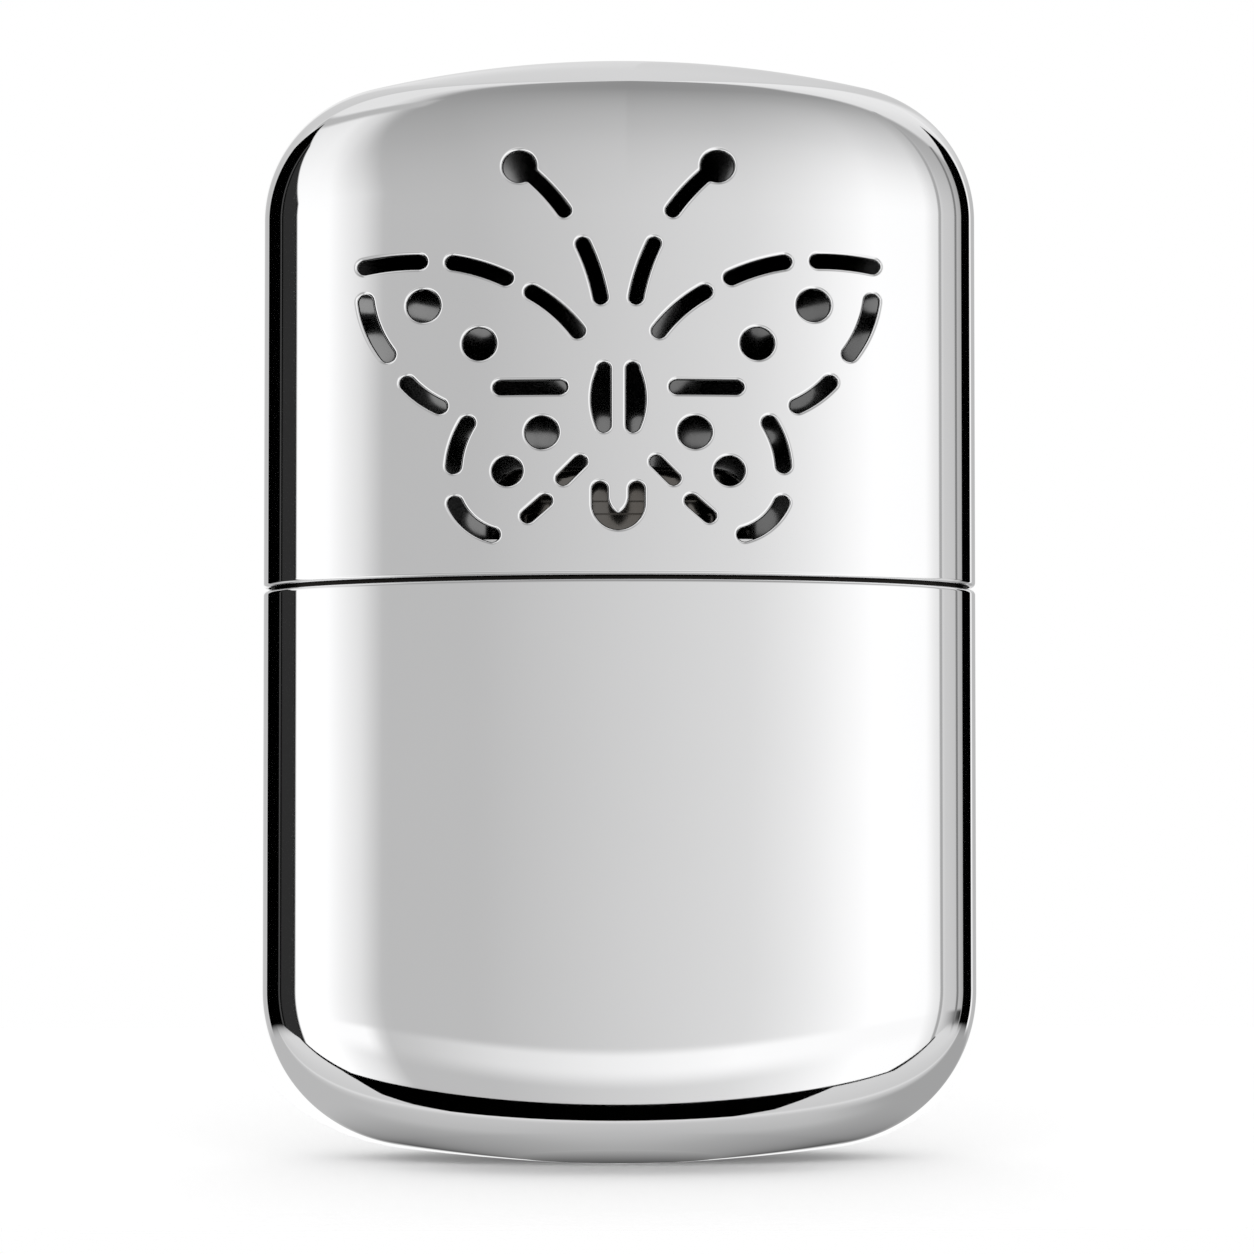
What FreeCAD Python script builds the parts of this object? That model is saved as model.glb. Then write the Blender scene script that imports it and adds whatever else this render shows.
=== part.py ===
import FreeCAD, Part
import math
import os
import Sketcher

# Catalytic hand warmer: an oval tank filled with cotton, a burner that plugs onto its filler neck, and a
# pierced cap that slides over the tank's collar.
# Frame: the origin is the middle of the flat foot, +Z up, +X along the width, the pierced face towards -Y.

V = FreeCAD.Vector

# Driving dimensions in millimetres: name, value, meaning.
DIMENSIONS = (
    ("case_width", 66.0, "case, end to end"),
    ("case_depth", 15.0, "case, front to back"),
    ("tank_height", 52.9, "foot to the tank's upper edge"),
    ("cap_height", 49.7, "cap's lip to its crown"),
    ("seam_gap", 0.3, "tank's upper edge to the cap's lip"),
    ("shell_wall", 0.5, "sheet of the tank and the cap"),
    ("base_arch", 136.0, "radius of the base's arch"),
    ("base_corner", 14.4, "radius of the base's corners"),
    ("base_trim", 0.32, "arch taken off by the flat foot"),
    ("foot_depth", 9.0, "flat foot, front to back"),
    ("foot_ease", 0.6, "foot to where the arch's front and back turn up"),
    ("crown_arch", 100.0, "radius of the crown's arch"),
    ("crown_corner", 12.7, "radius of the crown's corners"),
    ("lip_round", 0.3, "rounding of both edges at the seam"),
    ("plate_wall", 0.5, "sheet of the shoulder plate"),
    ("plate_rim_depth", 3.0, "down-turned rim of the shoulder plate"),
    ("braze_gap", 0.04, "clearance of brazed joints"),
    ("collar_rise", 3.8, "collar above the shoulder"),
    ("collar_wall", 0.5, "sheet of the collar"),
    ("cap_clearance", 0.2, "collar to the inside of the cap"),
    ("dimple_ball", 1.2, "radius of the ball that presses a grip dimple"),
    ("dimple_rise", 0.12, "grip dimple proud of the collar"),
    ("dimple_offset", 16.0, "grip dimple from the middle of the collar"),
    ("neck_width", 18.0, "filler neck, end to end"),
    ("neck_depth", 6.6, "filler neck, front to back"),
    ("neck_wall", 0.4, "sheet of the neck"),
    ("neck_rise", 5.0, "neck above the shoulder"),
    ("neck_drop", 4.0, "neck below the shoulder's upper face"),
    ("neck_flange", 1.2, "flange of the neck under the plate"),
    ("screen_wall", 0.4, "screen and grid in the neck"),
    ("screen_hole", 0.9, "diameter of the screen's holes"),
    ("screen_pitch", 1.8, "pitch of the screen's holes"),
    ("grid_slot", 1.1, "width of the slots in the neck's grid"),
    ("grid_pitch", 2.0, "pitch of the slots in the neck's grid"),
    ("soft_gap", 0.3, "cotton and felt to what holds them"),
    ("wick_width", 13.0, "wick strip, across"),
    ("wick_sheet", 1.8, "thickness of the wick strip"),
    ("wick_foot", 8.0, "lower end of the wick strip above the foot"),
    ("batt_drop", 5.0, "top of the cotton below the shoulder"),
    ("burner_wall", 0.4, "sheet of the burner"),
    ("sleeve_side_gap", 0.2, "sleeve to the neck, front and back"),
    ("sleeve_end_room", 1.0, "sleeve to the neck at its ends, for the springs"),
    ("sleeve_foot", 0.8, "sleeve's lower edge above the shoulder"),
    ("sleeve_height", 5.8, "height of the sleeve"),
    ("spring_sheet", 0.2, "sheet of the springs"),
    ("spring_width", 2.5, "width of the springs"),
    ("spring_bow", 0.39, "bow of the springs"),
    ("spring_chord", 3.6, "height of the bowed stretch"),
    ("spring_foot", 0.6, "spring above the sleeve's lower edge"),
    ("spring_touch", 0.06, "spring to the neck's end"),
    ("rivet_radius", 0.3, "shank of the rivets"),
    ("rivet_head", 0.55, "radius of the rivet heads"),
    ("rivet_head_wall", 0.3, "thickness of the rivet heads"),
    ("pan_overhang", 0.5, "pan beyond the sleeve, all round"),
    ("pan_height", 2.9, "height of the pan"),
    ("pan_window_width", 15.0, "vapour window, end to end"),
    ("pan_window_depth", 3.6, "vapour window, front to back"),
    ("gauze_wall", 0.25, "thickness of the gauzes"),
    ("gauze_hole", 0.7, "side of a mesh opening"),
    ("gauze_pitch", 1.1, "pitch of the mesh openings"),
    ("mat_height", 2.1, "thickness of the catalyst mat"),
    ("mat_round", 0.5, "rounded edge of the catalyst mat"),
    ("fit_gap", 0.05, "clearance between the burner's sheets"),
    ("frame_height", 3.4, "height of the burner frame"),
    ("frame_round", 1.3, "rounded upper edge of the burner frame"),
    ("frame_rise", 1.6, "burner frame above the pan's rim"),
    ("window_width", 17.0, "window of the frame, end to end"),
    ("window_depth", 5.2, "window of the frame, front to back"),
    ("guard_wall", 0.4, "sheet of the guard"),
    ("guard_slot", 1.7, "width of the guard's slots"),
    ("guard_pitch", 2.6, "pitch of the guard's slots"),
    ("vent_foot", 3.2, "lowest vent above the cap's lip"),
    ("vent_top_margin", 9.7, "highest vent below the crown"),
    ("vent_side_margin", 8.8, "outermost vent from the case's end"),
    ("wing_slot", 1.3, "width of the slots in the wings"),
    ("feeler_slot", 1.2, "width of the slots in the feelers and the small slots"),
    ("vent_hole", 3.0, "diameter of the round vents"),
    ("vent_hole_small", 2.7, "diameter of the lowest round vents"),
)

# The butterfly's right half as it is drawn: x from the case's axis, z from the lowest vent, in millimetres
# of a drawing DRAWN_HALF_SPAN wide and DRAWN_HEIGHT high.
DRAWN_HALF_SPAN = 24.2
DRAWN_HEIGHT = 36.8
WING_SLOTS = (
    ((3.8, 19.7), (5.75, 21.8), (8.0, 23.4)),
    ((10.5, 24.75), (12.9, 25.7), (15.35, 26.3)),
    ((18.5, 26.45), (21.1, 26.4), (23.55, 26.1)),
    ((23.5, 22.85), (22.8, 20.2), (21.45, 17.8)),
    ((19.6, 15.05), (18.1, 13.7), (16.6, 12.8)),
    ((5.45, 14.45), (10.9, 14.45)),
    ((14.0, 11.15), (14.9, 9.2), (15.3, 7.15)),
    ((15.15, 3.65), (13.8, 1.8), (11.7, 0.65)),
)
FEELER_SLOTS = (
    ((8.5, 34.8), (6.4, 32.75), (5.05, 31.05)),
    ((3.3, 27.9), (2.4, 25.7), (1.65, 22.85)),
    ((3.55, 7.4), (5.1, 5.85)),
    ((6.8, 3.75), (8.4, 2.35)),
)
ROUND_VENTS = ((9.2, 35.3), (18.1, 22.3), (12.9, 18.6), (7.1, 10.2))
SMALL_ROUND_VENTS = ((10.3, 6.6),)
# The body's upper slot, and the half of the horseshoe slot below it: corner points and points on the arcs.
BODY_SLOT = ((0.76, 10.85), (0.76, 16.1), (1.33, 16.72), (1.9, 16.05), (2.47, 13.2), (1.95, 10.7),
             (1.35, 10.22))
HORSESHOE = ((0.0, 1.08), (1.7, 1.83), (2.38, 3.6), (2.38, 4.85), (1.71, 5.52), (1.04, 4.85),
             (1.04, 4.3), (0.75, 3.2), (0.0, 2.52))

doc = FreeCAD.newDocument("HandWarmer")
sheet = doc.addObject("Spreadsheet::Sheet", "dims")
subparts = []


def fill_sheet():
    for row, (alias, value, meaning) in enumerate(DIMENSIONS, start=1):
        sheet.set(f"A{row}", meaning)
        sheet.set(f"B{row}", str(value))
        sheet.setAlias(f"B{row}", alias)
    doc.recompute()


def size(expression):
    """The number that an expression of the sheet's names gives."""
    return float(sheet.evalExpression(expression))


def linked(names):
    """The expression with every name pointed at the sheet, for another object's property."""
    words = []
    for word in names.split():
        words.append(f"dims.{word}" if word[0].isalpha() else word)
    return " ".join(words)


def bind(thing, **properties):
    """Binds the properties of an object, written with _ for a dot, to expressions of the sheet's names."""
    for name, expression in properties.items():
        thing.setExpression(name.replace("_", "."), linked(expression))


def register(thing, label):
    thing.Label = label
    subparts.append(thing)
    return thing


# ---------------------------------------------------------------- oval forms of the drawn shells

def arch_and_corner(half, arch, corner, apex):
    """Where the arch of a half outline meets its corner, the slope there, and where the side starts."""
    slope = math.asin((half - corner) / (arch - corner))
    join = V(arch * math.sin(slope), 0, apex + arch - arch * math.cos(slope))
    return join, slope, apex + arch - (arch - corner) * math.cos(slope)


def half_outline(half, arch, corner, apex, top):
    """Half of the front outline: an arched base, a round corner and a straight side, closed on the axis."""
    join, slope, side_level = arch_and_corner(half, arch, corner, apex)
    start = V(0, 0, apex)
    side = V(half, 0, side_level)
    lean = slope / 2
    arch_middle = V(arch * math.sin(lean), 0, apex + arch - arch * math.cos(lean))
    turn = (slope + math.pi / 2) / 2
    corner_middle = V(half - corner + corner * math.sin(turn), 0, side_level - corner * math.cos(turn))
    return Part.Face(Part.Wire([
        Part.Arc(start, arch_middle, join).toShape(),
        Part.Arc(join, corner_middle, side).toShape(),
        Part.makeLine(side, V(half, 0, top)),
        Part.makeLine(V(half, 0, top), V(0, 0, top)),
        Part.makeLine(V(0, 0, top), start),
    ]))


def cap_form(inset, height):
    """The cap's form, with its crown at the object's top, inset by so much."""
    half = size("case_width / 2") - inset
    depth = size("case_depth / 2") - inset
    arch = size("crown_arch") - inset
    form = half_outline(half, arch, size("crown_corner") - inset, inset, height)
    form = form.revolve(V(0, 0, 0), V(0, 0, 1), 360)
    flatten = FreeCAD.Matrix()
    flatten.A22 = depth / half
    form = form.transformGeometry(flatten)
    form.rotate(V(0, 0, 0), V(1, 0, 0), 180)
    form.translate(V(0, 0, size("tank_height + seam_gap + cap_height")))
    return form


def level_ellipse(ring):
    """A wire at a ring: its half width, half depth and level."""
    half_width, half_depth, level = ring
    return Part.Wire([Part.Ellipse(V(0, 0, level), half_width, half_depth).toShape()])


def oval_band(rings, middle_weight):
    """A band of wall from its first ring to its third, steered by the middle one. Its levels are ellipses."""
    poles = []
    weights = []
    for eighth in range(9):
        turn = math.radians(45 * eighth)
        weight = math.sqrt(0.5) if eighth % 2 else 1.0
        across = math.cos(turn) / weight
        along = math.sin(turn) / weight
        poles.append([V(ring[0] * across, ring[1] * along, ring[2]) for ring in rings])
        weights.append([weight, weight * middle_weight, weight])
    band = Part.BSplineSurface()
    band.buildFromPolesMultsKnots(poles, [3, 2, 2, 2, 3], [3, 3], [0, 1, 2, 3, 4], [0, 1],
                                  False, False, 2, 2, weights)
    return band.toShape()


def tank_form(inset, top):
    """The tank's form from its flat foot up, inset by so much. In front it has the arch and round corners of
    its outline. From front to back the foot is deeper than the arch alone would leave it, so that the case
    stands, and the wall runs on from it without a break."""
    half = size("case_width / 2") - inset
    depth = size("case_depth / 2") - inset
    arch = size("base_arch") - inset
    apex = inset - size("base_trim")
    join, slope, side_level = arch_and_corner(half, arch, size("base_corner") - inset, apex)
    foot_slope = math.acos(1 - size("base_trim") / arch)
    foot_x = arch * math.sin(foot_slope)
    bend_x = join.z - inset + foot_x * math.tan(foot_slope) - join.x * math.tan(slope)
    bend_x /= math.tan(foot_slope) - math.tan(slope)
    bend_level = inset + (bend_x - foot_x) * math.tan(foot_slope)
    bend_depth = size("foot_depth / 2 + foot_ease")
    corner_level = join.z + (half - join.x) * math.tan(slope)
    rise = (join.z - bend_level) / (corner_level - bend_level)
    foot = (foot_x, size("foot_depth / 2"), inset)
    bend = (bend_x, bend_depth, bend_level)
    corner_start = (join.x, bend_depth + (depth - bend_depth) * rise, join.z)
    corner = (half, depth, corner_level)
    side = (half, depth, side_level)
    wall = level_ellipse(side).extrude(V(0, 0, top - side_level))
    shell = Part.makeShell([
        Part.Face(level_ellipse(foot)),
        oval_band([foot, bend, corner_start], math.cos((slope - foot_slope) / 2)),
        oval_band([corner_start, corner, side], math.cos((math.pi / 2 - slope) / 2)),
        *wall.Faces,
        Part.Face(level_ellipse((half, depth, top))),
    ])
    shell.sewShape()
    return Part.makeSolid(shell)


def rounded_outer_edge(shell, level, radius):
    """Rounds the outer one of the two edges that lie at a level."""
    level_edges = []
    for edge in shell.Edges:
        box = edge.BoundBox
        if abs(box.ZMin - level) < 1e-4 and abs(box.ZMax - level) < 1e-4:
            level_edges.append(edge)
    outer = max(level_edges, key=lambda edge: edge.Length)
    return shell.makeFillet(radius, [outer])


def make_shaped(label, shape):
    """A sub-part whose shape is worked out from the sheet in code."""
    thing = doc.addObject("Part::Feature", label)
    thing.Shape = shape
    thing.Placement = FreeCAD.Placement()
    return register(thing, label)


def ellipse_prism(inset, low, high):
    """An upright prism over the case's level ellipse, inset by so much."""
    ellipse = Part.Ellipse(V(0, 0, low), size("case_width / 2") - inset, size("case_depth / 2") - inset)
    return Part.Face(Part.Wire([ellipse.toShape()])).extrude(V(0, 0, high - low))


def make_tank_shell():
    top = size("tank_height")
    wall = size("shell_wall")
    shell = tank_form(0.0, top).cut(tank_form(wall, top + wall))
    make_shaped("tank_shell", rounded_outer_edge(shell, top, size("lip_round")).Solids[0])


def make_shoulder_plate():
    """The plate's face is level with the tank's edge; its rim goes down inside the tank."""
    top = size("tank_height")
    outer = size("shell_wall + braze_gap")
    wall = size("plate_wall")
    plate = ellipse_prism(outer, top - size("plate_rim_depth"), top)
    plate = plate.cut(ellipse_prism(outer + wall, top - size("plate_rim_depth") - wall, top - wall))
    hole = oblong_prism(size("neck_width + 2 * braze_gap"), size("neck_depth + 2 * braze_gap"),
                        top - 2 * wall, top + wall)
    make_shaped("shoulder_plate", plate.cut(hole).Solids[0])


def dimple(x, face, inset, level):
    """A domed cap from inside the collar's sheet to its outside, square to the oval at x."""
    half = size("case_width / 2") - inset
    depth = size("case_depth / 2") - inset
    y = face * depth * math.sqrt(1 - (x / half) ** 2)
    outwards = V(x / half ** 2, y / depth ** 2, 0).normalize()
    ball = size("dimple_ball")
    rise = size("dimple_rise")
    latitude = math.degrees(math.asin(1 - (rise + size("collar_wall / 2")) / ball))
    return Part.makeSphere(ball, V(x, y, level) + outwards * (rise - ball), outwards, latitude, 90, 360)


def make_collar_band():
    """The band stands on the shoulder plate; four dimples grip the cap."""
    low = size("tank_height")
    high = size("tank_height + collar_rise")
    outer = size("shell_wall + cap_clearance")
    inner = size("shell_wall + cap_clearance + collar_wall")
    band = ellipse_prism(outer, low, high).cut(ellipse_prism(inner, low - 1, high + 1))
    dimples = []
    for side in (-1, 1):
        for face in (-1, 1):
            dimples.append(dimple(side * size("dimple_offset"), face, outer, (low + high) / 2))
    make_shaped("collar_band", band.fuse(dimples).removeSplitter().Solids[0])


def make_batts():
    """Two cotton batts fill the tank, with the wick strip between them."""
    top = size("tank_height - batt_drop")
    inset = size("shell_wall + soft_gap")
    fill = tank_form(inset, top)
    split = size("wick_sheet / 2 + soft_gap")
    width = size("case_width")
    front_room = Part.makeBox(2 * width, width, 2 * top, V(-width, -width - split, 0))
    back_room = Part.makeBox(2 * width, width, 2 * top, V(-width, split, 0))
    make_shaped("cotton_front", fill.common(front_room).Solids[0])
    make_shaped("cotton_back", fill.common(back_room).Solids[0])


# ---------------------------------------------------------------- the cap's vents

def vent_point(drawn):
    """A point of the drawn butterfly, stretched to the room that the cap's face leaves."""
    span = size("case_width / 2 - vent_side_margin") / DRAWN_HALF_SPAN
    rise = size("cap_height - vent_foot - vent_top_margin") / DRAWN_HEIGHT
    lip = size("tank_height + seam_gap + vent_foot")
    return V(drawn[0] * span, 0, lip + drawn[1] * rise)


def centre_of(a, b, c):
    """The centre of the circle through three points of the XZ plane, or None if they are in line."""
    cross = (b.x - a.x) * (c.z - a.z) - (b.z - a.z) * (c.x - a.x)
    if abs(cross) < 1e-6:
        return None
    d1 = ((b.x ** 2 + b.z ** 2) - (a.x ** 2 + a.z ** 2)) / 2
    d2 = ((c.x ** 2 + c.z ** 2) - (a.x ** 2 + a.z ** 2)) / 2
    x = (d1 * (c.z - a.z) - d2 * (b.z - a.z)) / cross
    z = ((b.x - a.x) * d2 - (c.x - a.x) * d1) / cross
    return V(x, 0, z)


def slot_face(points, width):
    """A slot with round ends along a line or along the arc through three points."""
    start = points[0]
    end = points[-1]
    middle = points[1] if len(points) == 3 else (start + end) / 2
    centre = centre_of(start, middle, end)
    if centre is None:
        along = (end - start).normalize()
        across = V(-along.z, 0, along.x)
        normals = (across, across, across)
        travel_start = along
        travel_end = along
    else:
        normals = tuple((point - centre).normalize() for point in (start, middle, end))
        travel_start = V(-normals[0].z, 0, normals[0].x)
        if travel_start.dot(middle - start) < 0:
            travel_start = -travel_start
        travel_end = V(-normals[2].z, 0, normals[2].x)
        if travel_end.dot(end - middle) < 0:
            travel_end = -travel_end
    half = width / 2
    outer = [point + normal * half for point, normal in zip((start, middle, end), normals)]
    inner = [point - normal * half for point, normal in zip((start, middle, end), normals)]

    def side(three):
        if centre is None:
            return Part.makeLine(three[0], three[2])
        return Part.Arc(three[0], three[1], three[2]).toShape()

    return Part.Face(Part.Wire([
        side(outer),
        Part.Arc(outer[2], end + travel_end * half, inner[2]).toShape(),
        side(inner[::-1]),
        Part.Arc(inner[0], start - travel_start * half, outer[0]).toShape(),
    ]))


def body_slot_face():
    p = [vent_point(point) for point in BODY_SLOT]
    return Part.Face(Part.Wire([
        Part.makeLine(p[0], p[1]),
        Part.Arc(p[1], p[2], p[3]).toShape(),
        Part.Arc(p[3], p[4], p[5]).toShape(),
        Part.Arc(p[5], p[6], p[0]).toShape(),
    ]))


def horseshoe_face():
    right = [vent_point(point) for point in HORSESHOE]
    edges = []
    for flip in (1, -1):
        p = [V(flip * point.x, 0, point.z) for point in right]
        edges.append(Part.Arc(p[0], p[1], p[2]).toShape())
        edges.append(Part.makeLine(p[2], p[3]))
        edges.append(Part.Arc(p[3], p[4], p[5]).toShape())
        edges.append(Part.makeLine(p[5], p[6]))
        edges.append(Part.Arc(p[6], p[7], p[8]).toShape())
    return Part.Face(Part.Wire(Part.__sortEdges__(edges)))


def round_face(point, diameter):
    circle = Part.Circle(vent_point(point), V(0, -1, 0), diameter / 2)
    return Part.Face(Part.Wire([circle.toShape()]))


def vent_cutters():
    """Prisms through the front wall for every vent of the butterfly."""
    right = [body_slot_face()]
    for points in WING_SLOTS:
        right.append(slot_face([vent_point(point) for point in points], size("wing_slot")))
    for points in FEELER_SLOTS:
        right.append(slot_face([vent_point(point) for point in points], size("feeler_slot")))
    for point in ROUND_VENTS:
        right.append(round_face(point, size("vent_hole")))
    for point in SMALL_ROUND_VENTS:
        right.append(round_face(point, size("vent_hole_small")))
    left = [face.mirror(V(0, 0, 0), V(1, 0, 0)) for face in right]
    through = V(0, -size("case_depth"), 0)
    return [face.extrude(through) for face in right + left + [horseshoe_face()]]


def make_cap_shell():
    height = size("cap_height")
    wall = size("shell_wall")
    shell = cap_form(0.0, height).cut(cap_form(wall, height + wall))
    shell = rounded_outer_edge(shell, size("tank_height + seam_gap"), size("lip_round"))
    make_shaped("cap_shell", shell.cut(vent_cutters()).Solids[0])


# ---------------------------------------------------------------- oblong pieces: neck, screens and burner

def oblong_prism(width, depth, low, high):
    """An upright prism over an oblong: a rectangle with half-round ends."""
    end = depth / 2
    run = width / 2 - end
    left = V(-run, 0, low)
    right = V(run, 0, low)
    up = V(0, end, 0)
    wire = Part.Wire([
        Part.makeLine(left + up, right + up),
        Part.Arc(right + up, right + V(end, 0, 0), right - up).toShape(),
        Part.makeLine(right - up, left - up),
        Part.Arc(left - up, left - V(end, 0, 0), left + up).toShape(),
    ])
    return Part.Face(wire).extrude(V(0, 0, high - low))


def origin_of(body, role):
    """The body's own origin plane or axis of that role."""
    for feature in body.Origin.OriginFeatures:
        if feature.Role == role:
            return feature
    raise RuntimeError(f"{body.Name} has no {role}")


def new_body(label, level):
    """A body whose own XY plane lies at a level of the object."""
    body = doc.addObject("PartDesign::Body", label)
    body.setExpression("Placement.Base.z", linked(level))
    return register(body, label)


def new_sketch(body, name, role="XY_Plane"):
    sketch = body.newObject("Sketcher::SketchObject", name)
    sketch.AttachmentSupport = [(origin_of(body, role), "")]
    sketch.MapMode = "FlatFace"
    return sketch


def set_radius(sketch, name, number, expression):
    """Names a circle's or an arc's radius and binds it to an expression."""
    constraint = sketch.addConstraint(Sketcher.Constraint("Radius", number, size(expression)))
    sketch.renameConstraint(constraint, name)
    sketch.setExpression(f"Constraints.{name}", linked(expression))


def set_distance(sketch, name, kind, number, expression):
    """Names the distance from the sketch's origin to a centre and binds it to an expression."""
    constraint = sketch.addConstraint(Sketcher.Constraint(kind, -1, 1, number, 3, size(expression)))
    sketch.renameConstraint(constraint, name)
    sketch.setExpression(f"Constraints.{name}", linked(expression))


def draw_oblong(sketch, tag, width, depth):
    """Draws an oblong on the sketch's centre; its sizes are expressions."""
    end = size(f"( {depth} ) / 2")
    run = size(f"( {width} ) / 2") - end
    quarter = math.pi / 2
    right_round = Part.Circle(V(run, 0, 0), V(0, 0, 1), end)
    left_round = Part.Circle(V(-run, 0, 0), V(0, 0, 1), end)
    first = sketch.GeometryCount
    sketch.addGeometry(Part.LineSegment(V(-run, end, 0), V(run, end, 0)))
    sketch.addGeometry(Part.ArcOfCircle(right_round, -quarter, quarter))
    sketch.addGeometry(Part.LineSegment(V(run, -end, 0), V(-run, -end, 0)))
    sketch.addGeometry(Part.ArcOfCircle(left_round, quarter, 3 * quarter))
    top, right, bottom, left = range(first, first + 4)
    for joint in ((top, 2, right, 2), (right, 1, bottom, 1), (bottom, 2, left, 2), (left, 1, top, 1)):
        sketch.addConstraint(Sketcher.Constraint("Tangent", *joint))
    sketch.addConstraint(Sketcher.Constraint("Horizontal", top))
    sketch.addConstraint(Sketcher.Constraint("Symmetric", left, 3, right, 3, -2))
    sketch.addConstraint(Sketcher.Constraint("PointOnObject", right, 3, -1))
    set_radius(sketch, f"{tag}_end", right, f"( {depth} ) / 2")
    set_distance(sketch, f"{tag}_run", "DistanceX", right, f"( {width} ) / 2 - ( {depth} ) / 2")


def pad(body, sketch, length, name):
    feature = body.newObject("PartDesign::Pad", name)
    feature.Profile = sketch
    feature.setExpression("Length", linked(length))
    sketch.Visibility = False
    doc.recompute()
    return feature


def pocket(body, sketch, name, length=None):
    """Cuts through everything, or to a depth, upwards from the sketch's plane; it must take material."""
    before = body.Shape.Volume
    feature = body.newObject("PartDesign::Pocket", name)
    feature.Profile = sketch
    feature.Reversed = True
    if length is None:
        feature.Type = "ThroughAll"
        feature.Midplane = True
    else:
        feature.setExpression("Length", linked(length))
    sketch.Visibility = False
    doc.recompute()
    if not body.Shape.Volume < before - 1e-3:
        raise RuntimeError(f"{name} cuts nothing")
    return feature


def row_of(body, feature, name, count, pitch):
    """Repeats a feature along X, evenly to both sides of the middle."""
    pattern = body.newObject("PartDesign::LinearPattern", name)
    pattern.Originals = [feature]
    pattern.Direction = (origin_of(body, "X_Axis"), [""])
    pattern.Length = pitch * (count - 1)
    pattern.Occurrences = count
    body.Tip = pattern
    doc.recompute()
    return pattern


def soften(body, feature, level, radius, name):
    """Rounds the outer edges that a body has at a level of its own frame."""
    names = []
    for number, edge in enumerate(feature.Shape.Edges, start=1):
        box = edge.BoundBox
        if abs(box.ZMin - level) < 1e-5 and abs(box.ZMax - level) < 1e-5:
            names.append(f"Edge{number}")
    fillet = body.newObject("PartDesign::Fillet", name)
    fillet.Base = (feature, names)
    fillet.setExpression("Radius", linked(radius))
    doc.recompute()
    return fillet


def make_filler_neck():
    """An oval tube through the shoulder plate, with a flange brazed under the plate."""
    body = new_body("filler_neck", "tank_height - neck_drop")
    tube = new_sketch(body, "neck_outline")
    draw_oblong(tube, "outer", "neck_width", "neck_depth")
    pad(body, tube, "neck_drop + neck_rise", "neck_tube")
    flange = new_sketch(body, "neck_flange_outline")
    flange.setExpression("AttachmentOffset.Base.z", linked("neck_drop - 2 * plate_wall"))
    draw_oblong(flange, "flange", "neck_width + 2 * neck_flange", "neck_depth + 2 * neck_flange")
    pad(body, flange, "plate_wall", "neck_flange")
    bore = new_sketch(body, "neck_bore_outline")
    draw_oblong(bore, "bore", "neck_width - 2 * neck_wall", "neck_depth - 2 * neck_wall")
    pocket(body, bore, "neck_bore")


def fitted_plate(label, level, width, depth, thickness):
    """A flat oblong plate at a level."""
    body = new_body(label, level)
    outline = new_sketch(body, f"{label}_outline")
    draw_oblong(outline, "plate", width, depth)
    pad(body, outline, thickness, f"{label}_sheet")
    return body


def neck_inside(side, gap):
    return f"neck_{side} - 2 * neck_wall - 2 * {gap}"


def make_neck_screen():
    """A perforated plate in the foot of the neck: two rows of holes."""
    body = fitted_plate("neck_screen", "tank_height - neck_drop", neck_inside("width", "braze_gap"),
                        neck_inside("depth", "braze_gap"), "screen_wall")
    run = size("neck_width - neck_depth")
    count = 2 * int(run / 2 / size("screen_pitch")) + 1
    start = -(count - 1) / 2 * size("screen_pitch")
    holes = new_sketch(body, "screen_hole_pair")
    for direction in (-1, 1):
        centre = V(start, direction * size("screen_pitch / 2"), 0)
        number = holes.addGeometry(Part.Circle(centre, V(0, 0, 1), size("screen_hole / 2")))
        tag = "front" if direction < 0 else "back"
        set_radius(holes, f"{tag}_hole", number, "screen_hole / 2")
        holes.addConstraint(Sketcher.Constraint("Block", number))
    first = pocket(body, holes, "screen_holes")
    row_of(body, first, "screen_rows", count, size("screen_pitch"))


def draw_slot_at(sketch, tag, x, width, length):
    """Draws an upright slot, round at both ends, at a place along the sketch's first axis."""
    half = width / 2
    run = length / 2 - half
    first = sketch.GeometryCount
    sketch.addGeometry(Part.LineSegment(V(x - half, -run, 0), V(x - half, run, 0)))
    sketch.addGeometry(Part.ArcOfCircle(Part.Circle(V(x, run, 0), V(0, 0, 1), half), 0, math.pi))
    sketch.addGeometry(Part.LineSegment(V(x + half, run, 0), V(x + half, -run, 0)))
    sketch.addGeometry(Part.ArcOfCircle(Part.Circle(V(x, -run, 0), V(0, 0, 1), half), math.pi, 2 * math.pi))
    left, top, right, bottom = range(first, first + 4)
    for joint in ((left, 2, top, 2), (top, 1, right, 1), (right, 2, bottom, 2), (bottom, 1, left, 1)):
        sketch.addConstraint(Sketcher.Constraint("Coincident", *joint))
    for number in range(first, first + 4):
        sketch.addConstraint(Sketcher.Constraint("Block", number))


def slotted(body, tag, width, length, pitch, room):
    """Cuts a centred row of upright slots into a plate, as many as the room along X takes."""
    count = 2 * int((room - width) / 2 / pitch) + 1
    outline = new_sketch(body, f"{tag}_first")
    draw_slot_at(outline, tag, -(count - 1) / 2 * pitch, width, length)
    first = pocket(body, outline, f"{tag}_slot")
    row_of(body, first, f"{tag}_row", count, pitch)


def make_neck_grid():
    """A stamped grid just inside the mouth of the neck."""
    body = fitted_plate("neck_grid", "tank_height + neck_rise - 2 * screen_wall",
                        neck_inside("width", "braze_gap"), neck_inside("depth", "braze_gap"), "screen_wall")
    length = size(neck_inside("depth", "neck_wall")) - size("screen_wall")
    slotted(body, "grid", size("grid_slot"), length, size("grid_pitch"), size("neck_width - neck_depth") + 1)


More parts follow.
